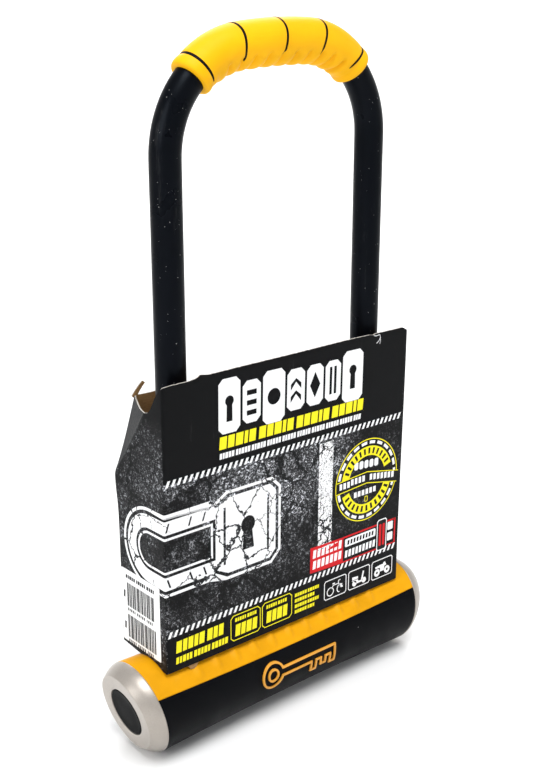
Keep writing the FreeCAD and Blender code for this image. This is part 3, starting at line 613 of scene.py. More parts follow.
def make_card_print():
    """Black printed face of the sleeve, with its asphalt picture and worn folds."""
    size = sizes()
    tint = colours()
    half = size.card_half / MM
    front = size.card_front / MM
    material, tree, shader, vector = start_material("Printed card")
    shader.inputs["Specular IOR Level"].default_value = 0.07
    apart = add_node(tree, "SeparateXYZ")
    wire(tree, (vector, apart.inputs[0]))
    x_place, y_place, z_place = apart.outputs
    on_side = band(tree, y_place, front + 0.3, front + 0.9)
    front_zone = maths(tree, "MULTIPLY", band(tree, z_place, 66.0, 66.6),
                       band(tree, z_place, 147.4, 146.8))
    fade_right = band(tree, x_place, 20.0, 62.0, 1.0, 0.10)
    fade_low = band(tree, z_place, 72.0, 124.0, 0.10, 1.0)
    low_right = maths(tree, "MAXIMUM", fade_low, band(tree, x_place, -10.0, -60.0, 0.0, 0.35))
    front_light = maths(tree, "MULTIPLY", front_zone,
                        maths(tree, "MULTIPLY", fade_right, low_right))
    side_zone = maths(tree, "MULTIPLY", band(tree, z_place, 180.0, 150.0),
                      band(tree, z_place, 46.0, 62.0, 0.2, 1.0))
    side_light = maths(tree, "MULTIPLY", side_zone, 0.42)
    share = add_node(tree, "Mix", data_type="FLOAT")
    wire(tree, (on_side, share.inputs[0]), (front_light, share.inputs[2]),
         (side_light, share.inputs[3]))
    stone = add_group(tree, "Printed asphalt", vector)
    wire(tree, (share.outputs[0], tree.nodes[-1].inputs["Light"]))
    ink = tinted(tint.card_ink, 1.0)
    grey = add_node(tree, "CombineColor")
    for label, gain in (("Red", 0.97), ("Green", 0.99), ("Blue", 1.05)):
        wire(tree, (maths(tree, "MULTIPLY", stone["Value"], gain), grey.inputs[label]))
    has_stone = band(tree, share.outputs[0], 0.0, 0.06)
    body = blend_colours(tree, has_stone, ink, grey.outputs["Color"])
    # painted sheen: the folded gusset's facet is painted a plain paler grey that stands in for the
    # light it catches
    facet = maths(tree, "ADD", maths(tree, "MULTIPLY", y_place, 0.834),
                  maths(tree, "MULTIPLY", z_place, 0.5517))
    painted_facet_sheen = maths(tree, "MULTIPLY", band(tree, facet, 98.4, 98.9),
                   band(tree, z_place, 138.0, 146.0))
    painted_facet_sheen = maths(tree, "MULTIPLY", painted_facet_sheen, band(tree, x_place, -60.0, -66.0))
    body = blend_colours(tree, maths(tree, "MULTIPLY", painted_facet_sheen, 0.85), body,
                         (0.0165, 0.0170, 0.0175))
    # white core showing along the folds
    fold_x = maths(tree, "ABSOLUTE", maths(tree, "SUBTRACT", maths(tree, "ABSOLUTE", x_place),
                                           half - 0.25))
    fold_y = maths(tree, "ABSOLUTE", maths(tree, "SUBTRACT", y_place, front + 0.25))
    near = maths(tree, "MULTIPLY", band(tree, fold_x, 0.55, 0.15), band(tree, fold_y, 0.55, 0.15))
    chips = band(tree, noise_value(tree, vector, 0.9, 5.0, 0.75), 0.60, 0.66)
    body = blend_colours(tree, maths(tree, "MULTIPLY", near, maths(tree, "MULTIPLY", chips, 0.6)),
                         body, (0.50, 0.49, 0.47))
    specks = add_group(tree, "Dust specks", vector, Scale=0.12, Size=0.045)["Mask"]
    body = blend_colours(tree, maths(tree, "MULTIPLY", specks, 0.35), body, (0.5, 0.5, 0.5))
    scuffs = add_group(tree, "Scuffs", vector, Scale=0.09, Amount=0.10)["Mask"]
    body = blend_colours(tree, scuffs, body, (0.20, 0.20, 0.20))
    wire(tree, (body, shader.inputs["Base Color"]))
    sheet_surface(tree, shader, vector, 0.40, 0.54)
    return material


def make_ink(name, colour, cracks=0.0, width=0.03, flakes=0.62):
    """Printed ink; worn ink lets the dark card through in cracks and flakes."""
    material, tree, shader, vector = start_material(name)
    shader.inputs["Specular IOR Level"].default_value = 0.12
    body = add_group(tree, "Tone drift", vector, Scale=0.2, Light_tone=tinted(colour, 1.0),
                     Dark_tone=tinted(colour, 0.93))["Color"]
    if cracks:
        worn = add_group(tree, "Cracks", vector, Scale=cracks, Width=width, Flakes=flakes)
        body = blend_colours(tree, worn["Flaked"], body, (0.02, 0.021, 0.023))
    wire(tree, (body, shader.inputs["Base Color"]))
    sheet_surface(tree, shader, vector, 0.36, 0.50)
    return material


def make_floor_paint():
    material, tree, shader, vector = start_material("Studio floor")
    body = add_group(tree, "Tone drift", vector, Scale=0.002,
                     Light_tone=tinted(colours().floor, 1.0),
                     Dark_tone=tinted(colours().floor, 0.985))["Color"]
    shader.inputs["Roughness"].default_value = 0.85
    shader.inputs["Specular IOR Level"].default_value = 0.15
    wire(tree, (body, shader.inputs["Base Color"]))
    return material


def material_named(name):
    return bpy.data.materials[name]


def make_materials():
    """Every finish of the lock, from the shared groups."""
    make_groups()
    tint = colours()
    moulded("Vinyl coating", tint.coating, 0.31, 1.6, 0.012, 0.8, 0.13, 0.05, specular=0.08,
            lint=0.6, tinge=(0.72, 0.84, 1.0))
    moulded("Grip rubber", tint.grip, 0.50, 2.6, 0.022, 0.90, 0.0, 0.0, specular=0.12)
    moulded("Insert plastic", tint.insert, 0.52, 3.0, 0.028, 0.82, 0.0, 0.06, specular=0.12,
            pale=(0.9, 0.62, 0.25))
    moulded("Cover plastic", tint.cover, 0.48, 3.2, 0.030, 0.8, 0.06, 0.03, specular=0.06)
    moulded("Rubber", tint.rubber, 0.62, 2.4, 0.03, 0.8, 0.03, specular=0.08)
    moulded("Emblem paint", tint.emblem, 0.38, 2.0, 0.02, 0.8)
    moulded("Nylon", (0.45, 0.43, 0.38), 0.5, 2.0, 0.02)
    make_cap_paint()
    make_metal("Hardened steel", (0.52, 0.53, 0.55), 0.32, (1.0, 1.0, 0.08))
    make_metal("Brass", (0.62, 0.42, 0.16), 0.33, (1.0, 1.0, 5.0))
    make_metal("Zinc", (0.48, 0.49, 0.50), 0.45, (1.0, 1.0, 1.0))
    make_metal("Spring steel", (0.42, 0.43, 0.45), 0.28, (1.0, 1.0, 6.0))
    make_kraft()
    make_card_edge()
    make_card_print()
    make_ink("White ink", tint.ink_white)
    make_ink("Yellow ink", tint.ink_yellow)
    make_ink("Red ink", tint.ink_red)
    make_ink("Black ink", tint.card_ink)
    make_ink("Label paper", (0.94, 0.94, 0.93))
    make_ink("Worn white ink", tint.ink_white, 0.06, 0.028, 0.665)
    make_ink("Road paint", tint.ink_white, 0.16, 0.09, 0.575)
    make_floor_paint()


SLOT_FINISH = {
    "hardened_steel": "Hardened steel", "vinyl_black": "Vinyl coating",
    "grip_yellow": "Grip rubber", "inlay_black": "Rubber", "cover_black": "Cover plastic",
    "cover_yellow": "Insert plastic", "cap_silver": "Silver cap paint", "plug_rubber": "Rubber",
    "emblem_orange": "Emblem paint", "brass": "Brass", "zinc": "Zinc", "nylon": "Nylon",
    "spring_steel": "Spring steel", "bezel_black": "Cover plastic", "card": "Kraft board",
}


# ------------------------------------------------------------------ the shackle's line
def crown_corner(side):
    """Centre, radius and first lean of a corner's bend, and its distance from the crown's middle."""
    size = sizes()
    radius = size.corner_right if side > 0 else size.corner_left
    crown_z = size.crown_top - size.leg_radius - size.crown_radius
    x = side * (size.leg_place - radius)
    z = crown_z + math.sqrt((size.crown_radius - radius) ** 2 - (x - size.crown_place) ** 2)
    lean = side * math.atan2(x - size.crown_place, z - crown_z)
    middle = math.asin(-size.crown_place / size.crown_radius)
    return (x, 0, z), radius, lean, size.crown_radius * (lean - side * middle)


def shackle_frame(distance):
    """Point on the bar's line and the outward direction, at a distance from the crown's middle."""
    size = sizes()
    side = 1.0 if distance >= 0 else -1.0
    run = abs(distance)
    centre, radius, lean, crown_run = crown_corner(side)
    if run <= crown_run:
        turn = run / size.crown_radius - side * math.asin(size.crown_place / size.crown_radius)
        centre = (size.crown_place, 0, size.crown_top - size.leg_radius - size.crown_radius)
        radius = size.crown_radius
    else:
        turn = min(math.pi / 2, lean + (run - crown_run) / radius)
    out = Vector((side * math.sin(turn), 0, math.cos(turn)))
    return Vector(centre) + out * radius, out


RIDGE_START = math.radians(109)
RIDGE_FULL = math.radians(125)
LIP_HEIGHT = 0.35 * MM
LIP_PLACE = 2.4 * MM
LIP_WIDTH = 1.9 * MM
GROOVE_DEPTH = 0.22 * MM
GROOVE_PLACE = 5.6 * MM
GROOVE_WIDTH = 0.9 * MM
END_ROUND = 1.3 * MM
STRIPE_TURN = math.radians(127)


def grip_radius(distance, turn):
    """Radius of the grip at a distance along the bar and a turn from the outside, in radians."""
    size = sizes()
    share = distance / size.grip_half
    radius = size.grip_end_radius + size.grip_swell * (1 - share * share)
    under = smooth_step(RIDGE_START, RIDGE_FULL, abs(turn))
    fade = 1 - smooth_step(0.76, 0.86, abs(share))
    wave = abs(math.sin(math.pi * distance / size.finger_pitch + 0.35 * abs(turn)))
    radius -= size.finger_depth * under * fade * (1 - wave) ** 1.3
    radius += 0.5 * MM * under * fade
    from_end = size.grip_half - abs(distance)
    lip = math.exp(-((from_end - LIP_PLACE) / LIP_WIDTH) ** 2)
    radius += LIP_HEIGHT * lip * (0.9 + 0.2 * smooth_step(0.9, 2.6, abs(turn)))
    radius -= GROOVE_DEPTH * math.exp(-((from_end - GROOVE_PLACE) / GROOVE_WIDTH) ** 2)
    if from_end < END_ROUND:
        radius -= 1.25 * MM * (1 - math.sqrt(max(0.0, 1 - (1 - from_end / END_ROUND) ** 2)))
    return radius


def grip_point(distance, turn, lift=0.0):
    """Point of the grip's surface, or above it by a lift."""
    place, out = shackle_frame(distance)
    radius = grip_radius(distance, turn) + lift
    return place + out * radius * math.cos(turn) + Vector((0, radius * math.sin(turn), 0))


class LOCK_OT_shackle_coating(bpy.types.Operator):
    """Build the black vinyl coating round the bent bar"""
    bl_idname = "lock.shackle_coating"
    bl_label = "Shackle coating"

    def execute(self, context):
        size = sizes()
        crown_centre = (size.crown_place, 0, size.crown_top - size.leg_radius - size.crown_radius)
        left, _, left_lean, left_run = crown_corner(-1)
        right, _, right_lean, right_run = crown_corner(1)
        clear_selection()
        bpy.ops.mesh.primitive_circle_add(vertices=72, radius=size.leg_radius, fill_type="NOTHING",
                                          location=(-size.leg_place, 0, size.coating_foot))
        piece = bpy.context.object
        bpy.ops.object.transform_apply(location=True, rotation=True, scale=True)
        bpy.ops.object.mode_set(mode="EDIT")
        bpy.ops.mesh.select_all(action="SELECT")
        rise = left[2] - size.coating_foot
        for _ in range(12):
            bpy.ops.mesh.extrude_region_move(TRANSFORM_OT_translate={"value": (0, 0, rise / 12)})
        for angle, steps, centre in (
                (math.pi / 2 - left_lean, 26, left),
                ((left_run + right_run) / size.crown_radius, 24, crown_centre),
                (math.pi / 2 - right_lean, 26, right)):
            bpy.ops.mesh.spin(steps=steps, angle=-angle, center=centre, axis=(0, 1, 0))
        rise = right[2] - size.coating_foot
        for _ in range(12):
            bpy.ops.mesh.extrude_region_move(TRANSFORM_OT_translate={"value": (0, 0, -rise / 12)})
        mend_normals(piece)
        apply_modifier(piece, "SOLIDIFY", thickness=size.coating_wall, offset=-1.0)
        place_piece(piece, "shackle_vinyl", [material_named("Vinyl coating")], "shackle",
                    ["shackle_coating"])
        return {"FINISHED"}


class LOCK_OT_grip(bpy.types.Operator):
    """Build the yellow grip with its finger ridges and rims"""
    bl_idname = "lock.grip"
    bl_label = "Grip"

    def execute(self, context):
        size = sizes()
        outer, inner, rows = 300, 40, 96
        columns = outer + inner + 2
        bore = size.leg_radius + 0.03 * MM

        def surface(u, v):
            turn = (v * 2 - 1) * math.pi
            step = round(u * columns)
            if step <= outer:
                return grip_point((2 * step / outer - 1) * size.grip_half, turn)
            share = min(1.0, (step - outer - 1) / inner)
            if step == columns:
                return grip_point(-size.grip_half, turn)
            place, out = shackle_frame((1 - 2 * share) * size.grip_half)
            return place + out * bore * math.cos(turn) + Vector((0, bore * math.sin(turn), 0))

        piece = grid_piece(columns, rows, surface)
        mend_normals(piece)
        place_piece(piece, "grip_moulding", [material_named("Grip rubber")], "shackle",
                    ["shackle_grip"], 50)
        return {"FINISHED"}


class LOCK_OT_grip_stripes(bpy.types.Operator):
    """Lay the tapered black stripes over the grip"""
    bl_idname = "lock.grip_stripes"
    bl_label = "Grip stripes"

    def execute(self, context):
        size = sizes()
        reach = size.grip_half - 5.5 * MM
        pieces = []
        for index in range(size.stripe_count):
            middle = -reach + 2 * reach * index / max(1, size.stripe_count - 1)

            def surface(u, v, middle=middle, index=index):
                turn = (u * 2 - 1) * STRIPE_TURN
                taper = math.sqrt(max(0.0, 1 - abs(u * 2 - 1) ** 14))
                half = size.inlay_width / 2 * max(0.03, taper)
                slant = 2.6 * MM * smooth_step(0.7, 2.3, abs(turn)) * min(1, index)
                distance = middle - slant + (v * 2 - 1) * half
                crown = 1 - (v * 2 - 1) ** 4
                return grip_point(distance, turn, 0.02 * MM + 0.08 * MM * crown)

            pieces.append(grid_piece(96, 6, surface))
        clear_selection()
        for piece in pieces:
            piece.select_set(True)
        bpy.context.view_layer.objects.active = pieces[0]
        bpy.ops.object.join()
        stripes = bpy.context.object
        mend_normals(stripes)
        apply_modifier(stripes, "SOLIDIFY", thickness=0.5 * MM, offset=-1.0)
        place_piece(stripes, "grip_stripes", [material_named("Rubber")], "shackle",
                    ["grip_inlays"], 60)
        return {"FINISHED"}


# ------------------------------------------------------------------ the crossbar
def cover_radius(x):
    """Radius of the waisted cover."""
    size = sizes()
    share = x / size.cover_half
    return size.cover_mid_radius + (size.cover_end_radius - size.cover_mid_radius) * share ** 2


def slanted_x(x, z):
    """Lean the cover's ends over: their tops reach further out."""
    size = sizes()
    lean = math.tan(math.radians(COVER_SLANT)) * (z - size.axis_height)
    return x + lean * (x / size.cover_half)


def insert_edge(x):
    """Angle above the horizontal of the line between cover and insert."""
    size = sizes()
    share = x / size.cover_half
    rise = size.edge_rise_mid + (size.edge_rise_end - size.edge_rise_mid) * share ** 2
    return math.asin(min(0.95, rise / cover_radius(x)))


def cover_skin(columns, rows, first_angle, last_angle, relief):
    """A skin round the crossbar between two angles that change along it."""
    size = sizes()

    def surface(u, v):
        even = 0.5 - 0.5 * math.cos(math.pi * v)
        part = 0.55 * even + 0.45 * v
        x = (u * 2 - 1) * size.cover_half
        start, end = first_angle(x), last_angle(x)
        angle = start + (end - start) * part
        radius = cover_radius(x)
        arc = min(angle - start, end - angle) * radius
        from_end = size.cover_half - abs(x)
        for away in (arc, from_end):
            if away < EDGE_WIDTH:
                radius -= EDGE_SINK * (1 - away / EDGE_WIDTH) ** 2
        radius += relief(x, angle)
        y = -radius * math.cos(angle)
        z = size.axis_height + radius * math.sin(angle)
        return Vector((slanted_x(x, z), y, z))

    piece = grid_piece(columns, rows, surface)
    mend_normals(piece)
    return piece


def cut_with(piece, cutter):
    """Cut one solid from another, then remove the cutter."""
    apply_modifier(piece, "BOOLEAN", object=cutter, operation="DIFFERENCE", solver="EXACT")
    bpy.data.objects.remove(cutter, do_unlink=True)


def rod(radius, depth, location, rotation=(0, 0, 0), vertices=96):
    clear_selection()
    bpy.ops.mesh.primitive_cylinder_add(vertices=vertices, radius=radius, depth=depth,
                                        location=location, rotation=rotation)
    bpy.ops.object.transform_apply(location=True, rotation=True, scale=True)
    return bpy.context.object


class LOCK_OT_crossbar_insert(bpy.types.Operator):
    """Build the yellow insert on top of the crossbar, with ribs and leg holes"""
    bl_idname = "lock.crossbar_insert"
    bl_label = "Crossbar insert"

    def execute(self, context):
        size = sizes()

        def ribs(x, angle):
            if abs(x) > RIB_REACH:
                return 0.0
            slope = min(angle, math.pi - angle)
            window = (smooth_step(math.radians(35), math.radians(46), slope)
                      * (1 - smooth_step(math.radians(76), math.radians(84), slope)))
            wave = 0.5 + 0.5 * math.cos(2 * math.pi * x / RIB_PITCH + 1.2)
            return RIB_HEIGHT * window * wave ** 4

        skin = cover_skin(360, 60, insert_edge, lambda x: math.pi - insert_edge(x), ribs)
        apply_modifier(skin, "SOLIDIFY", thickness=COVER_WALL, offset=-1.0)
        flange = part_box("leg_bush_right")
        hole = (flange[1][0] - flange[0][0]) / 2 + 0.15 * MM
        for side in (-1, 1):
            cut_with(skin, rod(hole, 30 * MM, (side * size.leg_place, 0, size.axis_height + 25 * MM)))
        place_piece(skin, "crossbar_top", [material_named("Insert plastic")], "crossbar",
                    ["top_insert"], 32)
        return {"FINISHED"}


class LOCK_OT_crossbar_cover(bpy.types.Operator):
    """Build the black cover round the crossbar, with the keyway's opening"""
    bl_idname = "lock.crossbar_cover"
    bl_label = "Crossbar cover"

    def execute(self, context):
        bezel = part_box("keyway_bezel")
        gap = 0.12 * MM
        skin = cover_skin(150, 120, lambda x: math.pi - insert_edge(x),
                          lambda x: 2 * math.pi + insert_edge(x), lambda x, angle: 0.0)
        apply_modifier(skin, "SOLIDIFY", thickness=COVER_WALL, offset=-1.0)
        clear_selection()
        middle = [(bezel[0][axis] + bezel[1][axis]) / 2 for axis in range(3)]
        bpy.ops.mesh.primitive_cube_add(size=1, location=(middle[0], middle[1], 0))
        bpy.ops.transform.resize(value=(bezel[1][0] - bezel[0][0] + 2 * gap,
                                        bezel[1][1] - bezel[0][1] + 2 * gap, 20 * MM))
        bpy.ops.object.transform_apply(location=True, rotation=True, scale=True)
        cut_with(skin, bpy.context.object)
        place_piece(skin, "crossbar_shell", [material_named("Cover plastic")], "crossbar",
                    ["crossbar_jacket"], 32)
        return {"FINISHED"}


class LOCK_OT_end_caps(bpy.types.Operator):
    """Build the two silver end caps: a slanted face, a crease and a slope to the rounded rim"""
    bl_idname = "lock.end_caps"
    bl_label = "End caps"

    def execute(self, context):
        size = sizes()
        depth = size.face_place - size.cover_half
        middle = (size.face_place + size.cover_half) / 2
        cap = rod(size.cover_end_radius, depth, (middle, 0, size.axis_height),
                  (0, math.pi / 2, 0), 144)
        pick(cap, "FACE", lambda co: co.x > size.face_place - 0.01 * MM)
        face_radius = size.cover_end_radius
        slope_width = size.cover_end_radius - size.cap_crease
        for step in range(1, 15):
            radius = size.cover_end_radius - slope_width * (step / 14) ** 1.4
            bpy.ops.mesh.inset(thickness=face_radius - radius)
            face_radius = radius
        for inset in (0.28, 0.25, 0.5):
            bpy.ops.mesh.inset(thickness=inset * MM)
            face_radius -= inset * MM
        bpy.ops.mesh.inset(thickness=face_radius - CAP_BORE)
        bpy.ops.mesh.inset(thickness=0.35 * MM)
        bpy.ops.mesh.inset(thickness=0.25 * MM)
        bpy.ops.mesh.extrude_region_move(TRANSFORM_OT_translate={"value": (-2.9 * MM, 0, 0)})
        pick(cap, "FACE", lambda co: co.x < size.cover_half + 0.01 * MM)
        bpy.ops.mesh.inset(thickness=0.3 * MM)
        bpy.ops.mesh.select_all(action="DESELECT")
        bpy.ops.object.mode_set(mode="OBJECT")

        def rounded(co):
            """Sink the insets of the flat end back to the cap's slope and rounded rim."""
            if co.x < size.face_place - 0.01 * MM:
                return co
            away = math.hypot(co.y, co.z - size.axis_height)
            drop = 0.0
            if away > size.cap_crease - 0.02 * MM:
                share = max(0.0, (away - size.cap_crease) / slope_width)
                drop = size.cap_slope * (0.75 * share + 0.25 * share ** 5) + 0.1 * MM
            elif away < CAP_BORE - 0.15 * MM:
                drop = 0.10 * MM if away > CAP_BORE - 0.5 * MM else 0.32 * MM
            return Vector((co.x - drop, co.y, co.z))

        place_points(cap, rounded)

        def lean(co):
            share = (co.x - size.cover_half) / depth
            share = min(1.0, max(0.0, share))
            slant = math.tan(math.radians(COVER_SLANT + (FACE_SLANT - COVER_SLANT) * share))
            x = co.x + (co.z - size.axis_height) * slant
            joint = co.x < size.cover_half + 0.01 * MM
            away = math.hypot(co.y, co.z - size.axis_height)
            if joint and away > size.cover_end_radius - 0.1 * MM:
                x += 0.3 * MM
            return Vector((x, co.y, co.z))

        place_points(cap, lean)
        mend_normals(cap)
        other = copy_mirrored(cap, "end_cap_shell_left")
        for piece, side in ((cap, "right"), (other, "left")):
            place_piece(piece, "end_cap_shell_" + side, [material_named("Silver cap paint")],
                        "crossbar", ["end_cap_" + side], 32)
        return {"FINISHED"}


class LOCK_OT_end_plugs(bpy.types.Operator):
    """Build the two dished rubber plugs in the end caps"""
    bl_idname = "lock.end_plugs"
    bl_label = "End plugs"

    def execute(self, context):
        size = sizes()
        face = size.face_place - 0.25 * MM
        plug = rod(PLUG_RADIUS, 2.4 * MM, (face - 1.2 * MM, 0, size.axis_height),
                   (0, math.pi / 2, 0), 96)
        pick(plug, "FACE", lambda co: co.x > face - 0.01 * MM)
        bpy.ops.mesh.region_to_loop()
        bpy.ops.mesh.bevel(offset=0.7 * MM, segments=5, affect="EDGES")
        pick(plug, "FACE", lambda co: co.x > face - 0.01 * MM and abs(co.y) < 1 * MM
             and abs(co.z - size.axis_height) < 1 * MM)
        for step, drop in ((0.9, 0.0), (0.8, -0.22), (3.0, -0.18), (3.0, -0.08)):
            bpy.ops.mesh.inset(thickness=step * MM)
            bpy.ops.transform.translate(value=(drop * MM, 0, 0))
        bpy.ops.mesh.poke()
        bpy.ops.object.mode_set(mode="OBJECT")
        slant = math.tan(math.radians(FACE_SLANT))
        place_points(plug, lambda co: Vector(
            (co.x + (co.z - size.axis_height) * slant, co.y, co.z)))
        mend_normals(plug)
        other = copy_mirrored(plug, "end_disc_left")
        for piece, side in ((plug, "right"), (other, "left")):
            place_piece(piece, "end_disc_" + side, [material_named("Rubber")], "crossbar",
                        ["end_plug_" + side], 40)
        return {"FINISHED"}


# ------------------------------------------------------------------ the card sleeve
GUSSET_START = Vector((24.0, 141.6))
GUSSET_END = Vector((-2.2, 180.8))
GUSSET_TURN = 28.0
FRONT_LEAN = 1.2
RIGHT_FLARE = 1.5
BACK_SWELL = 1.2
BEND_HEIGHT = 141.0
SWELL_REACH = 13.0
FOLD_SOFT = 1.1
FOLD_STEPS = [-1.1, -0.7, -0.35, 0.0, 0.35, 0.7, 1.1]
FRONT_TOP = [(0, 194.6), (0.6, 194.9), (2.2, 195.1), (4.5, 195.3), (15.5, 195.4), (20.0, 196.0),
             (22.6, 197.4), (24.6, 197.0), (28, 196.5), (48, 196.9), (82, 197.3), (122, 198.0),
             (136, 197.9), (138, 197.3), (140, 197.9), (161.6, 198.0), (165.4, 195.6)]
SIDE_TOP = [(0, 194.6), (1.5, 193.6), (3.3, 191.9), (5.4, 189.0), (8.0, 184.4), (9.6, 181.8),
            (11.4, 180.5), (13.8, 180.0), (16, 179.8), (19, 179.6), (25, 179.7), (32, 181.0),
            (39.2, 182.8)]
RIGHT_TOP = [(0, 195.6), (3, 193.2), (8, 188.5), (14, 185.0), (24, 184.0), (39.2, 183.6)]
BACK_TOP = [(0, 183.6), (20, 183.4), (60, 183.0), (110, 182.8), (140, 182.6), (156, 182.6),
            (165.4, 182.8)]


def card_bends():
    """Places of the four folds along the sheet: the front starts at 0."""
    size = sizes()
    wide = 2 * size.card_half / MM
    deep = (size.card_back - size.card_front) / MM
    return wide, wide + deep, 2 * wide + deep, 2 * wide + 2 * deep


def gusset_fold(depth, height):
    """A point of a side wall, as (inward, depth, height), after the gusset is folded."""
    along = (GUSSET_END - GUSSET_START).normalized()
    across = Vector((along.y, -along.x))
    away = Vector((depth, height)) - GUSSET_START
    run, reach = away.dot(along), away.dot(across)
    if reach <= 0 or height < GUSSET_START.y - 6:
        return 0.0, depth, height
    turn = math.radians(GUSSET_TURN) * smooth_step(0.0, 1.6, reach)
    turn *= smooth_step(-4.0, 6.0, run)
    flat = GUSSET_START + along * run + across * (reach * math.cos(turn))
    return reach * math.sin(turn), flat.x, flat.y


def card_corner(height):
    """Where the back corner of a side wall comes to at a height of the sheet."""
    back = sizes().card_back / MM
    return gusset_fold(back, height)


def back_swell(height):
    """How much the left back corner bulges at a height, from 0 to 1."""
    return math.exp(-((height - BEND_HEIGHT) / SWELL_REACH) ** 2)


def sheet_point(run, height):
    """A point of the card in millimetres, at a run along the sheet and a height on it."""
    size = sizes()
    half, front = size.card_half / MM, size.card_front / MM
    back = size.card_back / MM
    right, back_right, back_left, whole = card_bends()
    run = run % whole
    flare = RIGHT_FLARE * smooth_step(60.0, 195.0, height)
    lean = FRONT_LEAN * smooth_step(60.0, 195.0, height)
    if run <= right:
        ease = math.sin(math.pi * run / right) * smooth_step(60, 120, height)
        wave = 0.35 * ease * math.sin(height / 31.0 + 0.6)
        share = run / right
        return Vector((-half + run + lean * (1 - share) + flare * share, front - wave, height))
    if run <= back_right:
        inward, depth, level = gusset_fold(front + run - right, height)
        return Vector((half + flare - inward, depth, level))
    if run <= back_left:
        share = (run - back_right) / right
        inward, depth, level = card_corner(height)
        span = half - inward
        swell = back_swell(height) * smooth_step(0.5, 1.0, share)
        bow = math.sin(math.pi * share) * smooth_step(141, 186, height)
        x = span * (1 - 2 * share) - BACK_SWELL * swell + flare * (1 - share)
        return Vector((x, depth - 4.0 * bow, level + (height - level) * min(1.0, bow)))
    depth = back - (run - back_left)
    swell = back_swell(height) * smooth_step(2.0, 24.0, depth)
    share = (depth - front) / (back - front)
    inward, depth, level = gusset_fold(depth, height)
    return Vector((-half + inward - BACK_SWELL * swell + lean * (1 - share), depth, level))


def rounded_sheet_point(run, height):
    """The same with its four folds rounded."""
    soft = FOLD_SOFT
    right, back_right, back_left, whole = card_bends()
    run = run % whole
    for fold in (0.0, right, back_right, back_left, whole):
        away = run - fold
        if abs(away) < soft:
            share = (away + soft) / (2 * soft)
            first = sheet_point(fold - soft, height)
            corner = sheet_point(fold, height)
            last = sheet_point(fold + soft, height)
            return (first * (1 - share) ** 2 + corner * (2 * share * (1 - share))
                    + last * share ** 2)
    return sheet_point(run, height)


def sheet_normal(run, height):
    step = 0.2
    across = rounded_sheet_point(run + step, height) - rounded_sheet_point(run - step, height)
    upward = rounded_sheet_point(run, height + step) - rounded_sheet_point(run, height - step)
    return across.cross(upward).normalized()


def card_top(run):
    right, back_right, back_left, whole = card_bends()
    run = run % whole
    if run <= right:
        height = along_line(FRONT_TOP, run)
    elif run <= back_right:
        height = along_line(RIGHT_TOP, run - right)
    elif run <= back_left:
        height = along_line(BACK_TOP, run - back_right)
    else:
        height = along_line(SIDE_TOP, whole - run)
    return height + 0.22 * noise.noise(Vector((run * 0.55, 0.0, 3.1)))


def card_foot(run):
    """Lower edge: cut out over the crossbar on the two sides."""
    size = sizes()
    right, back_right, back_left, whole = card_bends()
    run = run % whole
    if run <= right:
        return 46.9 - 1.3 * run / right
    if back_right <= run <= back_left:
        return 50.0
    depth = (size.card_front / MM + run - right) if run < back_right else (
        size.card_back / MM - (run - back_left))
    share = (depth - size.card_front / MM) / (back_right - right)
    line = 46.6 + 3.4 * share
    radius = cover_radius(size.card_half) / MM + 0.55
    if abs(depth) < radius:
        line = max(line, size.axis_height / MM + math.sqrt(radius ** 2 - depth ** 2))
    return line


def sheet_runs():
    """Places of the sheet's columns: closer together at the folds and on the sides."""
    right, back_right, back_left, whole = card_bends()
    runs = []
    for fold, after, step in ((0.0, right, 1.5), (right, back_right, 0.9),
                              (back_right, back_left, 3.0), (back_left, whole, 0.9)):
        runs += [fold + place for place in FOLD_STEPS]
        inner = after - fold - 2 * FOLD_SOFT
        count = max(2, int(inner / step))
        runs += [fold + FOLD_SOFT + inner * index / count for index in range(1, count)]
    return runs


class LOCK_OT_card_sleeve(bpy.types.Operator):
    """Fold the printed card sleeve from one sheet"""
    bl_idname = "lock.card_sleeve"
    bl_label = "Card sleeve"

    def execute(self, context):
        size = sizes()
        runs = sheet_runs()
        runs.append(runs[0] + card_bends()[3])
        last = len(runs) - 1
        rows = 104

        def surface(u, v):
            run = runs[min(last, round(u * last))]
            low, high = card_foot(run), card_top(run)
            return rounded_sheet_point(run, low + (high - low) * v) * MM

        piece = grid_piece(last, rows, surface)
        mend_normals(piece)
        for name in ("Printed card", "Kraft board", "Card cut edge"):
            piece.data.materials.append(material_named(name))
        apply_modifier(piece, "SOLIDIFY", thickness=size.card_wall, offset=-1.0,
                       material_offset=1, material_offset_rim=2)
        place_piece(piece, "card_wrap", [], "sleeve", ["card_sleeve"], 28)
        return {"FINISHED"}


# ------------------------------------------------------------------ the print on the card
def sheet_cut(places, axis):
    """Cut the active flat mesh along parallel lines so that it can follow the card."""
    bpy.ops.object.mode_set(mode="EDIT")
    for place in places:
        point = [0.0, 0.0, 0.0]
        point[axis] = place
        line = [0.0, 0.0, 0.0]
        line[axis] = 1.0
        bpy.ops.mesh.select_all(action="SELECT")
        bpy.ops.mesh.bisect(plane_co=point, plane_no=line)
    bpy.ops.object.mode_set(mode="OBJECT")


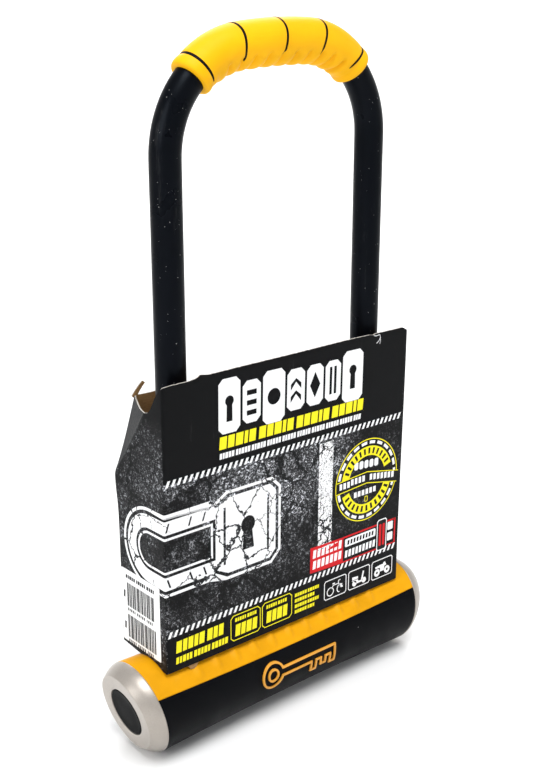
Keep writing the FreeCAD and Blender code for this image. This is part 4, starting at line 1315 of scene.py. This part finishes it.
def print_piece(name, loops, material, lift, thick=0.05):
    """Lay flat outlines, given in millimetres on the sheet, on the card as thin ink."""
    curve = bpy.data.curves.new(name, "CURVE")
    curve.dimensions = "2D"
    curve.fill_mode = "BOTH"
    for loop in loops:
        spline = curve.splines.new("POLY")
        spline.points.add(len(loop) - 1)
        for point, (run, height) in zip(spline.points, loop):
            point.co = (run, height, 0.0, 1.0)
        spline.use_cyclic_u = True
    piece = bpy.data.objects.new(name, curve)
    bpy.context.scene.collection.objects.link(piece)
    make_active(piece)
    bpy.ops.object.convert(target="MESH")
    piece = bpy.context.object
    low = min(point.co.x for point in piece.data.vertices)
    high = max(point.co.x for point in piece.data.vertices)
    cuts = [index * 9.0 for index in range(-4, 19) if low < index * 9.0 < high]
    if low < 0.0:
        cuts += FOLD_STEPS
    sheet_cut(cuts, 0)
    bottom = min(point.co.y for point in piece.data.vertices)
    top = max(point.co.y for point in piece.data.vertices)
    sheet_cut([index * 9.0 for index in range(5, 23) if bottom < index * 9.0 < top], 1)

    def laid(co):
        normal = sheet_normal(co.x, co.y)
        return (rounded_sheet_point(co.x, co.y) + normal * lift) * MM

    place_points(piece, laid)
    mend_flat(piece)
    apply_modifier(piece, "SOLIDIFY", thickness=thick * MM, offset=1.0)
    return place_piece(piece, name, [material_named(material)], "sleeve", (), 30)


def mend_flat(piece):
    """Turn every face of a laid sheet to the outside of the card."""
    for face in piece.data.polygons:
        front = face.center.y < sizes().card_front + 0.6 * MM
        wanted = Vector((0, -1, 0)) if front else Vector((face.center.x, 0, 0))
        if face.normal.dot(wanted) < 0:
            face.flip()
    piece.data.update()


def box_loop(x0, z0, x1, z1, cut=0.0, lean=0.0):
    """A bar, with cut corners or leaning over."""
    if cut:
        return [(x0 + cut, z0), (x1 - cut, z0), (x1, z0 + cut), (x1, z1 - cut),
                (x1 - cut, z1), (x0 + cut, z1), (x0, z1 - cut), (x0, z0 + cut)]
    return [(x0, z0), (x1, z0), (x1 + lean, z1), (x0 + lean, z1)]


def arc_points(cx, cz, radius, first, last, count):
    return [(cx + radius * math.cos(math.radians(first + (last - first) * i / count)),
             cz + radius * math.sin(math.radians(first + (last - first) * i / count)))
            for i in range(count + 1)]


def ring_loops(cx, cz, outer, inner, count=64):
    return [arc_points(cx, cz, outer, 0, 360, count)[:-1],
            arc_points(cx, cz, inner, 0, 360, count)[:-1]]


def arc_bar(cx, cz, outer, inner, first, last, count=5):
    return (arc_points(cx, cz, outer, first, last, count)
            + arc_points(cx, cz, inner, last, first, count))


def frame_loops(x0, z0, x1, z1, line, cut):
    return [box_loop(x0, z0, x1, z1, cut),
            box_loop(x0 + line, z0 + line, x1 - line, z1 - line, max(0.3, cut - line * 0.5))]


def stroke(points, width):
    """A polyline drawn with one width, as one closed outline."""
    left, right = [], []
    for index, (x, z) in enumerate(points):
        before = points[max(0, index - 1)]
        after = points[min(len(points) - 1, index + 1)]
        dx, dz = after[0] - before[0], after[1] - before[1]
        size = math.hypot(dx, dz) or 1.0
        nx, nz = -dz / size * width / 2, dx / size * width / 2
        left.append((x + nx, z + nz))
        right.append((x - nx, z - nz))
    return left + right[::-1]


def dashes(x0, x1, z0, z1, widths, gap):
    """A row of blocks with a repeating list of widths, standing for a line of print."""
    loops = []
    place, index = x0, 0
    while place + widths[index % len(widths)] <= x1 + 0.01:
        width = widths[index % len(widths)]
        loops.append(box_loop(place, z0, place + width, z1, 0.0, (z1 - z0) * 0.08))
        place += width + (gap * 2.4 if index % 5 == 4 else gap)
        index += 1
    return loops


def hazard_line(z, height=3.3, pitch=3.45):
    loops = []
    for index in range(47):
        x0 = 0.9 + pitch * index
        loops.append([(x0, z), (x0 + 1.55, z), (x0 + 1.55 + 1.5, z + height),
                      (x0 + 1.5, z + height)])
    return loops


def padlock_outline(grow):
    """Outline of a padlock lying on its side, grown by a margin; its hoop wraps the fold."""
    g = grow
    cut = 4.0
    body = [(70.5 + g, 90 + cut - g * 0.4), (70.5 + g, 131 - cut + g * 0.4),
            (70.5 - cut + g * 0.4, 131 + g), (35 + cut - g * 0.4, 131 + g),
            (31 - g, 127 + g * 0.4)]
    hoop_top = [(30 - g, 128.6 + g), (-12.5, 128.6 + g)]
    bend = arc_points(-12.5, 110.5, 18.1 + g, 90, 270, 26)
    hoop_low = [(-12.5, 92.4 - g), (30 - g, 92.4 - g)]
    foot = [(31 - g, 94 - g * 0.4), (35 + cut - g * 0.4, 90 - g),
            (70.5 - cut + g * 0.4, 90 - g)]
    return body + hoop_top + bend[1:-1] + hoop_low + foot


def hoop_hole(shrink):
    """The opening inside the padlock's hoop, made smaller by a margin."""
    s = shrink
    return ([(31 - s, 99.4 + s), (31 - s, 121.6 - s), (-12.5, 121.6 - s)]
            + arc_points(-12.5, 110.5, 11.1 - s, 90, 270, 20)[1:-1] + [(-12.5, 99.4 + s)])


def padlock_loops():
    """The big worn padlock: a filled picture and a thin outline round it."""
    solid = [padlock_outline(0.0), hoop_hole(0.0)]
    keyhole = (arc_points(52.0, 113.0, 4.6, -52, 232, 22)
               + [(48.0, 99.5), (56.0, 99.5)])
    solid.append(keyhole)
    for place in (36.0, 64.6):
        solid.append(box_loop(place, 95.0, place + 1.5, 126.0))
    for spot in (14.0, 0.5, 22.5):
        solid.append(box_loop(spot, 122.8, spot + 1.1, 127.4, 0.0, 1.6))
        solid.append(box_loop(spot + 2, 93.6, spot + 3.1, 98.2, 0.0, -1.6))
    return solid, [padlock_outline(3.5), padlock_outline(1.9), hoop_hole(1.7), hoop_hole(2.9)]


def top_mark_loops():
    """The row of bold white signs across the top: plain tiles with simple cut-outs."""
    loops = []
    tiles = [(33.0, 46.5, 164.6, 192.6), (48.0, 59.5, 167.0, 189.0), (61.0, 75.5, 163.6, 191.4),
             (77.0, 89.0, 167.2, 189.2), (90.5, 102.0, 167.0, 189.0), (103.5, 114.5, 166.8, 188.8),
             (116.0, 131.0, 163.6, 191.8)]
    for index, (x0, x1, z0, z1) in enumerate(tiles):
        loops.append(box_loop(x0, z0, x1, z1, 2.6))
        mid = (x0 + x1) / 2
        if index in (0, 6):
            loops.append(arc_points(mid, 181.0, 2.7, -50, 230, 14)
                         + [(mid - 1.9, 170.5), (mid + 1.9, 170.5)])
        elif index == 1:
            for step in range(3):
                loops.append(box_loop(x0 + 2.6, 171 + step * 5.2, x1 - 2.6, 173.6 + step * 5.2))
        elif index == 2:
            loops.append(arc_points(mid, 177.5, 4.3, 0, 360, 24)[:-1])
        elif index == 3:
            for step in range(2):
                base = 171.5 + step * 6.5
                loops.append([(x0 + 2.4, base), (mid, base + 4.2), (x1 - 2.4, base),
                              (x1 - 2.4, base + 3.2), (mid, base + 6.2),
                              (x0 + 2.4, base + 3.2)])
        elif index == 4:
            loops.append([(mid, 185), (mid + 3.6, 178), (mid, 171), (mid - 3.6, 178)])
        else:
            loops.append(box_loop(x0 + 3.0, 170.5, x0 + 4.8, 185.5))
            loops.append(box_loop(x1 - 4.8, 170.5, x1 - 3.0, 185.5))
    return loops


def crease_loops():
    """Small creases where the black print has cracked, near the right end of the top."""
    return [stroke([(138.9, 197.0), (140.2, 196.6), (143.2, 196.9), (143.8, 195.2), (142.6, 193.5),
                    (140.9, 192.4)], 0.34),
            stroke([(143.2, 195.0), (143.9, 194.0), (143.4, 191.6)], 0.22)]


def bicycle_loops(x, z):
    """Small bicycle sign."""
    loops = ring_loops(x - 3.8, z - 1.4, 2.7, 2.1, 24) + ring_loops(x + 3.8, z - 1.4, 2.7, 2.1, 24)
    loops.append(stroke([(x - 3.8, z - 1.2), (x - 1.6, z + 1.9), (x + 2.6, z + 1.9),
                         (x + 3.8, z - 1.2)], 0.55))
    loops.append(stroke([(x - 2.2, z + 2.9), (x - 0.3, z + 2.9)], 0.7))
    loops.append(stroke([(x + 2.3, z + 2.3), (x + 2.5, z + 3.6), (x + 3.8, z + 3.8)], 0.55))
    return loops


def scooter_loops(x, z):
    """Small scooter sign."""
    loops = [arc_points(x - 3.6, z - 2.6, 1.7, 0, 360, 20)[:-1],
             arc_points(x + 4.0, z - 2.6, 1.7, 0, 360, 20)[:-1]]
    loops.append([(x - 5.8, z - 0.6), (x - 1.2, z - 0.6), (x - 0.2, z - 1.9), (x + 1.6, z - 1.9),
                  (x + 3.0, z + 3.4), (x + 4.0, z + 3.1), (x + 2.7, z - 2.8), (x - 1.7, z - 2.8)])
    loops.append([(x - 5.4, z - 0.2), (x - 0.8, z - 0.2), (x - 0.8, z + 1.2), (x - 5.4, z + 1.7)])
    return loops


def motorcycle_loops(x, z):
    """Small motorcycle sign."""
    loops = ring_loops(x - 4.0, z - 1.9, 2.3, 0.8, 24) + ring_loops(x + 4.2, z - 1.9, 2.3, 0.8, 24)
    loops.append([(x - 5.2, z + 0.8), (x - 1.6, z + 0.8), (x - 1.4, z - 1.8), (x + 1.6, z - 1.8),
                  (x + 2.0, z + 0.9), (x + 3.6, z + 1.2), (x + 2.4, z + 3.6), (x + 1.2, z + 3.2),
                  (x + 0.9, z + 2.4), (x - 1.4, z + 2.5), (x - 5.6, z + 2.0)])
    return loops


BADGE = (137.4, 114.9)


def badge_loops():
    """The round badge: dashes outside, a ring, a band across and blank bars."""
    cx, cz = BADGE
    white, yellow, black = [], [], []
    yellow += ring_loops(cx, cz, 24.0, 23.45, 96)
    for index in range(22):
        first = 90 + index * 360 / 22
        white.append(arc_bar(cx, cz, 22.6, 20.9, first + 2.0, first + 13.0))
    yellow.append(arc_bar(cx, cz, 19.6, 14.2, 18, 170, 40))
    yellow.append(arc_bar(cx, cz, 19.6, 14.2, 198, 352, 40))
    for index in range(12):
        first = 26 + index * 11.6
        black.append(arc_bar(cx, cz, 18.6, 15.2, first, first + 4.6, 3))
    for index in range(11):
        first = 206 + index * 12.6
        black.append(arc_bar(cx, cz, 18.6, 15.2, first, first + 5.0, 3))
    strip = [(cx - 23.4, cz - 3.3), (cx, cz - 1.9), (cx + 24.0, cz - 6.9),
             (cx + 24.9, cz - 0.4), (cx, cz + 4.7), (cx - 23.4, cz + 3.3)]
    black.append(strip)
    yellow_top = [stroke([strip[5], strip[4], strip[3]], 0.5),
                  stroke([strip[0], strip[1], strip[2]], 0.5)]
    white_top = []
    for index in range(15):
        x0 = cx - 21.0 + index * 2.9
        if index == 7:
            continue
        slope = -0.10 * max(0.0, x0 - cx) * 1.6
        white_top.append(box_loop(x0, cz - 0.4 + slope - (0.7 if x0 < cx - 14 else 0.0), x0 + 1.9,
                                  cz + 3.1 + slope - (0.7 if x0 < cx - 14 else 0.0)))
    for index in range(5):
        white.append(box_loop(cx - 10.0 + index * 3.9, cz + 7.6 - index * 0.25,
                              cx - 7.0 + index * 3.9, cz + 12.2 - index * 0.25, 0.7))
    for index in range(6):
        white.append(box_loop(cx - 9.6 + index * 3.0, cz - 8.6, cx - 7.6 + index * 3.0, cz - 5.4))
    yellow += frame_loops(cx - 1.2, cz - 13.0, cx + 1.2, cz - 9.6, 0.4, 0.5)
    return white, yellow, black, yellow_top, white_top


def rating_loops():
    """The red rating bar with blank blocks."""
    red, white, black, red_top = [], [], [], []
    red.append([(95.6, 71.0), (120.4, 69.7), (120.4, 85.2), (95.6, 86.0)])
    red.append(box_loop(120.4, 84.3, 160.8, 85.3))
    red.append(box_loop(120.4, 69.6, 160.8, 70.4))
    red.append(box_loop(161.4, 69.6, 162.4, 85.3, 0.0))
    for z0 in (79.2, 72.8):
        for index in range(7):
            x0 = 97.4 + index * 3.2
            white.append(box_loop(x0, z0, x0 + 2.2, z0 + 4.8, 0.0, 0.5))
    white.append(box_loop(121.8, 78.6, 146.0, 83.4, 0.6))
    for index in range(9):
        black.append(box_loop(123.6 + index * 2.4, 79.7, 124.9 + index * 2.4, 82.3, 0.0, 0.3))
    for index in range(9):
        white.append(box_loop(121.8 + index * 2.75, 72.2, 123.6 + index * 2.75, 76.4, 0.0, 0.4))
    white += [box_loop(155.8, 79.0, 160.2, 84.0, 0.5), box_loop(155.8, 72.4, 160.2, 77.4, 0.5)]
    black.append(box_loop(147.0, 68.2, 155.0, 87.6, 1.2))
    white_top = frame_loops(147.0, 68.2, 155.0, 87.6, 0.6, 1.2)
    red_top += [box_loop(148.8, 71.2, 150.6, 84.6, 0.4), box_loop(151.6, 71.2, 153.4, 84.6, 0.4)]
    return red, white, black, red_top, white_top


def foot_row_loops():
    """The bottom row: blocks, two outlined boxes, small lines and three signs."""
    yellow, white = [], []
    yellow += dashes(5.6, 38.4, 56.6, 63.0, [3.3, 2.6, 3.0, 2.4, 3.2], 0.75)
    yellow += dashes(5.4, 38.4, 50.6, 54.2, [1.7, 1.4, 1.9, 1.3, 1.6, 1.8], 0.5)
    for x0, x1 in ((40.2, 60.4), (61.4, 82.6)):
        yellow += frame_loops(x0, 49.9, x1, 64.6, 0.45, 1.8)
        yellow += dashes(x0 + 3.0, x1 - 2.6, 60.6, 62.6, [1.2, 0.9, 1.4], 0.4)
        yellow += dashes(x0 + 3.0, x1 - 2.2, 52.2, 58.8, [3.2, 2.8, 3.4, 3.0], 0.7)
    for row in range(4):
        yellow += dashes(84.6, 103.6 - (row % 2) * 3.4, 60.6 - row * 3.3, 62.6 - row * 3.3,
                         [1.5, 1.1, 1.8, 1.3], 0.35)
    for index, sign in enumerate((bicycle_loops, scooter_loops, motorcycle_loops)):
        x0 = 106.4 + index * 18.7
        white += frame_loops(x0, 50.6, x0 + 17.2, 62.4, 0.5, 1.1)
        white += sign(x0 + 8.6, 56.3)
    return yellow, white


class LOCK_OT_card_print(bpy.types.Operator):
    """Print the generic signs, hazard lines and bars on the sleeve"""
    bl_idname = "lock.card_print"
    bl_label = "Card print"

    def execute(self, context):
        lock_fill, lock_line = padlock_loops()
        stripe = [[(101.0, 83.0), (111.2, 83.6), (111.0, 144.2), (100.8, 144.2)]]
        badge_white, badge_yellow, badge_black, band_yellow, band_white = badge_loops()
        red, bar_white, bar_black, bar_red, bar_frame = rating_loops()
        foot_yellow, foot_white = foot_row_loops()
        white = top_mark_loops() + hazard_line(145.6) + hazard_line(66.2)
        white += dashes(33.6, 131.8, 152.0, 155.0, [1.5, 1.1, 1.8, 1.3, 1.6], 0.45)
        white += badge_white + bar_white + foot_white
        yellow = dashes(33.4, 132.0, 157.0, 163.4, [4.4, 4.0, 4.6, 2.2, 4.2], 0.9)
        yellow += badge_yellow + foot_yellow
        for name, loops, finish, lift in (
                ("print_padlock", lock_fill, "Worn white ink", 0.06),
                ("print_padlock_line", lock_line, "Worn white ink", 0.06),
                ("print_road_stripe", stripe, "Road paint", 0.06),
                ("print_white", white, "White ink", 0.06),
                ("print_creases", crease_loops(), "White ink", 0.06),
                ("print_yellow", yellow, "Yellow ink", 0.06),
                ("print_red", red, "Red ink", 0.06),
                ("print_black", badge_black + bar_black, "Black ink", 0.13),
                ("print_yellow_upper", band_yellow, "Yellow ink", 0.20),
                ("print_white_upper", band_white + bar_frame, "White ink", 0.20),
                ("print_red_upper", bar_red, "Red ink", 0.20)):
            print_piece(name, loops, finish, lift)
        return {"FINISHED"}


class LOCK_OT_card_label(bpy.types.Operator):
    """Stick the blank-coded label on the sleeve's left side"""
    bl_idname = "lock.card_label"
    bl_label = "Card label"

    def execute(self, context):
        print_piece("label_paper", [box_loop(-38.0, 51.4, -4.8, 92.2, 0.5)], "Label paper", 0.08,
                    0.10)
        bars = []
        for low, high in ((72.0, 85.0), (54.2, 67.2)):
            place, index = -33.2, 0
            while place < -9.4:
                width = 0.22 + 0.24 * ((index * 7 + int(low)) % 4)
                bars.append(box_loop(place, low, place + width, high))
                place += width + 0.26 + 0.2 * ((index * 5 + 3) % 3)
                index += 1
            bars += dashes(-33.0, -9.8, low - 2.7, low - 1.1, [0.8, 0.6, 0.9], 0.7)
            bars += dashes(-36.4, -35.0, low + 4.0, low + 8.0, [1.3], 0.5)
        bars += dashes(-34.0, -8.0, 87.4, 89.4, [1.3, 0.9, 1.5, 1.1], 0.5)
        print_piece("label_bars", bars, "Black ink", 0.22)
        return {"FINISHED"}


def scrap_piece(name, columns, rows, rule, offset):
    """A small flap of unprinted board with cut edges."""
    piece = grid_piece(columns, rows, rule)
    mend_normals(piece)
    for finish in ("Kraft board", "Card cut edge"):
        piece.data.materials.append(material_named(finish))
    apply_modifier(piece, "SOLIDIFY", thickness=0.7 * MM, offset=offset, material_offset_rim=1)
    place_piece(piece, name, [], "sleeve", (), 40)


class LOCK_OT_card_scraps(bpy.types.Operator):
    """Add the torn corner strip and the kraft tab of the sleeve"""
    bl_idname = "lock.card_scraps"
    bl_label = "Card scraps"

    def execute(self, context):
        def strip(u, v):
            width = 2.3 * (1 - 0.35 * u)
            x = -72.6 + 5.2 * u
            z = 180.2 + 7.6 * u + 0.5 * math.sin(u * 3.0)
            return Vector((x + width * (v - 0.5), 21.5 - 1.6 * u, z - width * (v - 0.5) * 0.8)) * MM

        def tab(u, v):
            narrow = 0.5 + 0.5 * smooth_step(0.0, 0.5, v)
            x = -66.3 + (u - 0.5) * 6.4 * narrow
            z = 44.3 + 4.2 * v + 0.35 * math.sin(u * 9)
            return Vector((x, -14.7 - 0.5 * (1 - v) ** 2, z)) * MM

        scrap_piece("card_torn_strip", 16, 4, strip, 0.0)
        scrap_piece("card_kraft_tab", 12, 8, tab, -1.0)
        return {"FINISHED"}


# ------------------------------------------------------------------ the frame's own nodes
class LOCK_OT_frame_finishes(bpy.types.Operator):
    """Give every carried-over node of the frame its finish"""
    bl_idname = "lock.frame_finishes"
    bl_label = "Frame finishes"

    def execute(self, context):
        slots = {part["node"]: part["material_slot"] for part in frame["record"]["subparts"]}
        for name, node in frame["nodes"].items():
            finish = material_named(SLOT_FINISH[slots[name]])
            for index in range(len(node.data.materials)):
                node.data.materials[index] = finish
            if not node.data.materials:
                node.data.materials.append(finish)
        return {"FINISHED"}


# ------------------------------------------------------------------ the stage
class LOCK_OT_stage(bpy.types.Operator):
    """Lay the pale floor, set the soft lights and place the camera"""
    bl_idname = "lock.stage"
    bl_label = "Stage"

    def execute(self, context):
        scene = context.scene
        clear_selection()
        flat, bend, wall = 2.2, 0.7, 1.1
        bpy.ops.mesh.primitive_circle_add(vertices=128, radius=flat, fill_type="NGON")
        floor = bpy.context.object
        floor.name = "studio_floor"
        bpy.ops.object.mode_set(mode="EDIT")
        bpy.ops.mesh.select_all(action="SELECT")
        bpy.ops.mesh.extrude_region_move(TRANSFORM_OT_translate={"value": (0, 0, 0)})
        reach = flat
        for step in range(1, 13):
            turn = math.radians(86) * step / 12
            wide = flat + bend * math.sin(turn)
            rise = bend * (1 - math.cos(turn))
            last = bend * (1 - math.cos(math.radians(86) * (step - 1) / 12))
            bpy.ops.transform.resize(value=(wide / reach, wide / reach, 1))
            bpy.ops.transform.translate(value=(0, 0, rise - last))
            reach = wide
            bpy.ops.mesh.extrude_region_move(TRANSFORM_OT_translate={"value": (0, 0, 0)})
        bpy.ops.transform.translate(value=(0, 0, wall))
        bpy.ops.mesh.delete(type="ONLY_FACE")
        bpy.ops.object.mode_set(mode="OBJECT")
        bpy.ops.object.shade_smooth()
        floor.data.materials.append(material_named("Studio floor"))
        world = scene.world or bpy.data.worlds.new("Studio")
        scene.world = world
        world.use_nodes = True
        sky = world.node_tree.nodes.get("Background")
        sky.inputs["Color"].default_value = (0.93, 0.95, 1.0, 1.0)
        sky.inputs["Strength"].default_value = 0.42
        for name, place, aim, width, power in (
                ("key", (-0.3, -0.6, 1.9), (0, 0, 0.1), 1.2, 34.0),
                ("fill", (-1.4, -0.2, 0.9), (0, 0, 0.2), 0.9, 9.0),
                ("back", (1.2, 1.6, 1.5), (0.6, 0.8, 0.0), 1.6, 38.0)):
            bpy.ops.object.light_add(type="AREA", location=place)
            lamp = bpy.context.object
            lamp.name = "light_" + name
            lamp.data.shape = "DISK"
            lamp.data.size = width
            lamp.data.energy = power
            turn = (Vector(aim) - Vector(place)).to_track_quat("-Z", "Y")
            lamp.rotation_euler = turn.to_euler()
        bpy.ops.object.camera_add(location=(-0.3567, -0.4112, 0.3422),
                                  rotation=(math.radians(73.14), 0, math.radians(-40.56)))
        camera = bpy.context.object
        camera.name = "camera_main"
        camera.data.lens = 51.35
        camera.data.sensor_width = 36.0
        camera.data.clip_start = 0.01
        scene.camera = camera
        scene.view_settings.view_transform = "Standard"
        clear_selection()
        return {"FINISHED"}


OPERATORS = (
    LOCK_OT_stage, LOCK_OT_frame_finishes, LOCK_OT_shackle_coating, LOCK_OT_grip,
    LOCK_OT_grip_stripes, LOCK_OT_crossbar_insert, LOCK_OT_crossbar_cover, LOCK_OT_end_caps,
    LOCK_OT_end_plugs, LOCK_OT_card_sleeve, LOCK_OT_card_print, LOCK_OT_card_label,
    LOCK_OT_card_scraps,
)


class LOCK_PT_pieces(bpy.types.Panel):
    """Lists the lock's pieces in the 3D view's sidebar"""
    bl_idname = "LOCK_PT_pieces"
    bl_label = "U Lock"
    bl_space_type = "VIEW_3D"
    bl_region_type = "UI"
    bl_category = "U Lock"

    def draw(self, context):
        for operator in OPERATORS:
            self.layout.operator(operator.bl_idname)
        for group in (context.scene.lock_sizes, context.scene.lock_colours):
            box = self.layout.box()
            for name in group.bl_rna.properties.keys():
                if name not in ("rna_type", "name"):
                    box.prop(group, name)


CLASSES = (LockSizes, LockColours) + OPERATORS + (LOCK_PT_pieces,)


def register():
    for item in CLASSES:
        bpy.utils.register_class(item)
    bpy.types.Scene.lock_sizes = PointerProperty(type=LockSizes)
    bpy.types.Scene.lock_colours = PointerProperty(type=LockColours)


def unregister():
    del bpy.types.Scene.lock_colours
    del bpy.types.Scene.lock_sizes
    for item in reversed(CLASSES):
        bpy.utils.unregister_class(item)


def main():
    """Build every piece in order."""
    register()
    make_materials()
    bpy.ops.lock.stage()
    bpy.ops.lock.frame_finishes()
    bpy.ops.lock.shackle_coating()
    bpy.ops.lock.grip()
    bpy.ops.lock.grip_stripes()
    bpy.ops.lock.crossbar_insert()
    bpy.ops.lock.crossbar_cover()
    bpy.ops.lock.end_caps()
    bpy.ops.lock.end_plugs()
    bpy.ops.lock.card_sleeve()
    bpy.ops.lock.card_print()
    bpy.ops.lock.card_label()
    bpy.ops.lock.card_scraps()


if __name__ == "__main__":
    main()
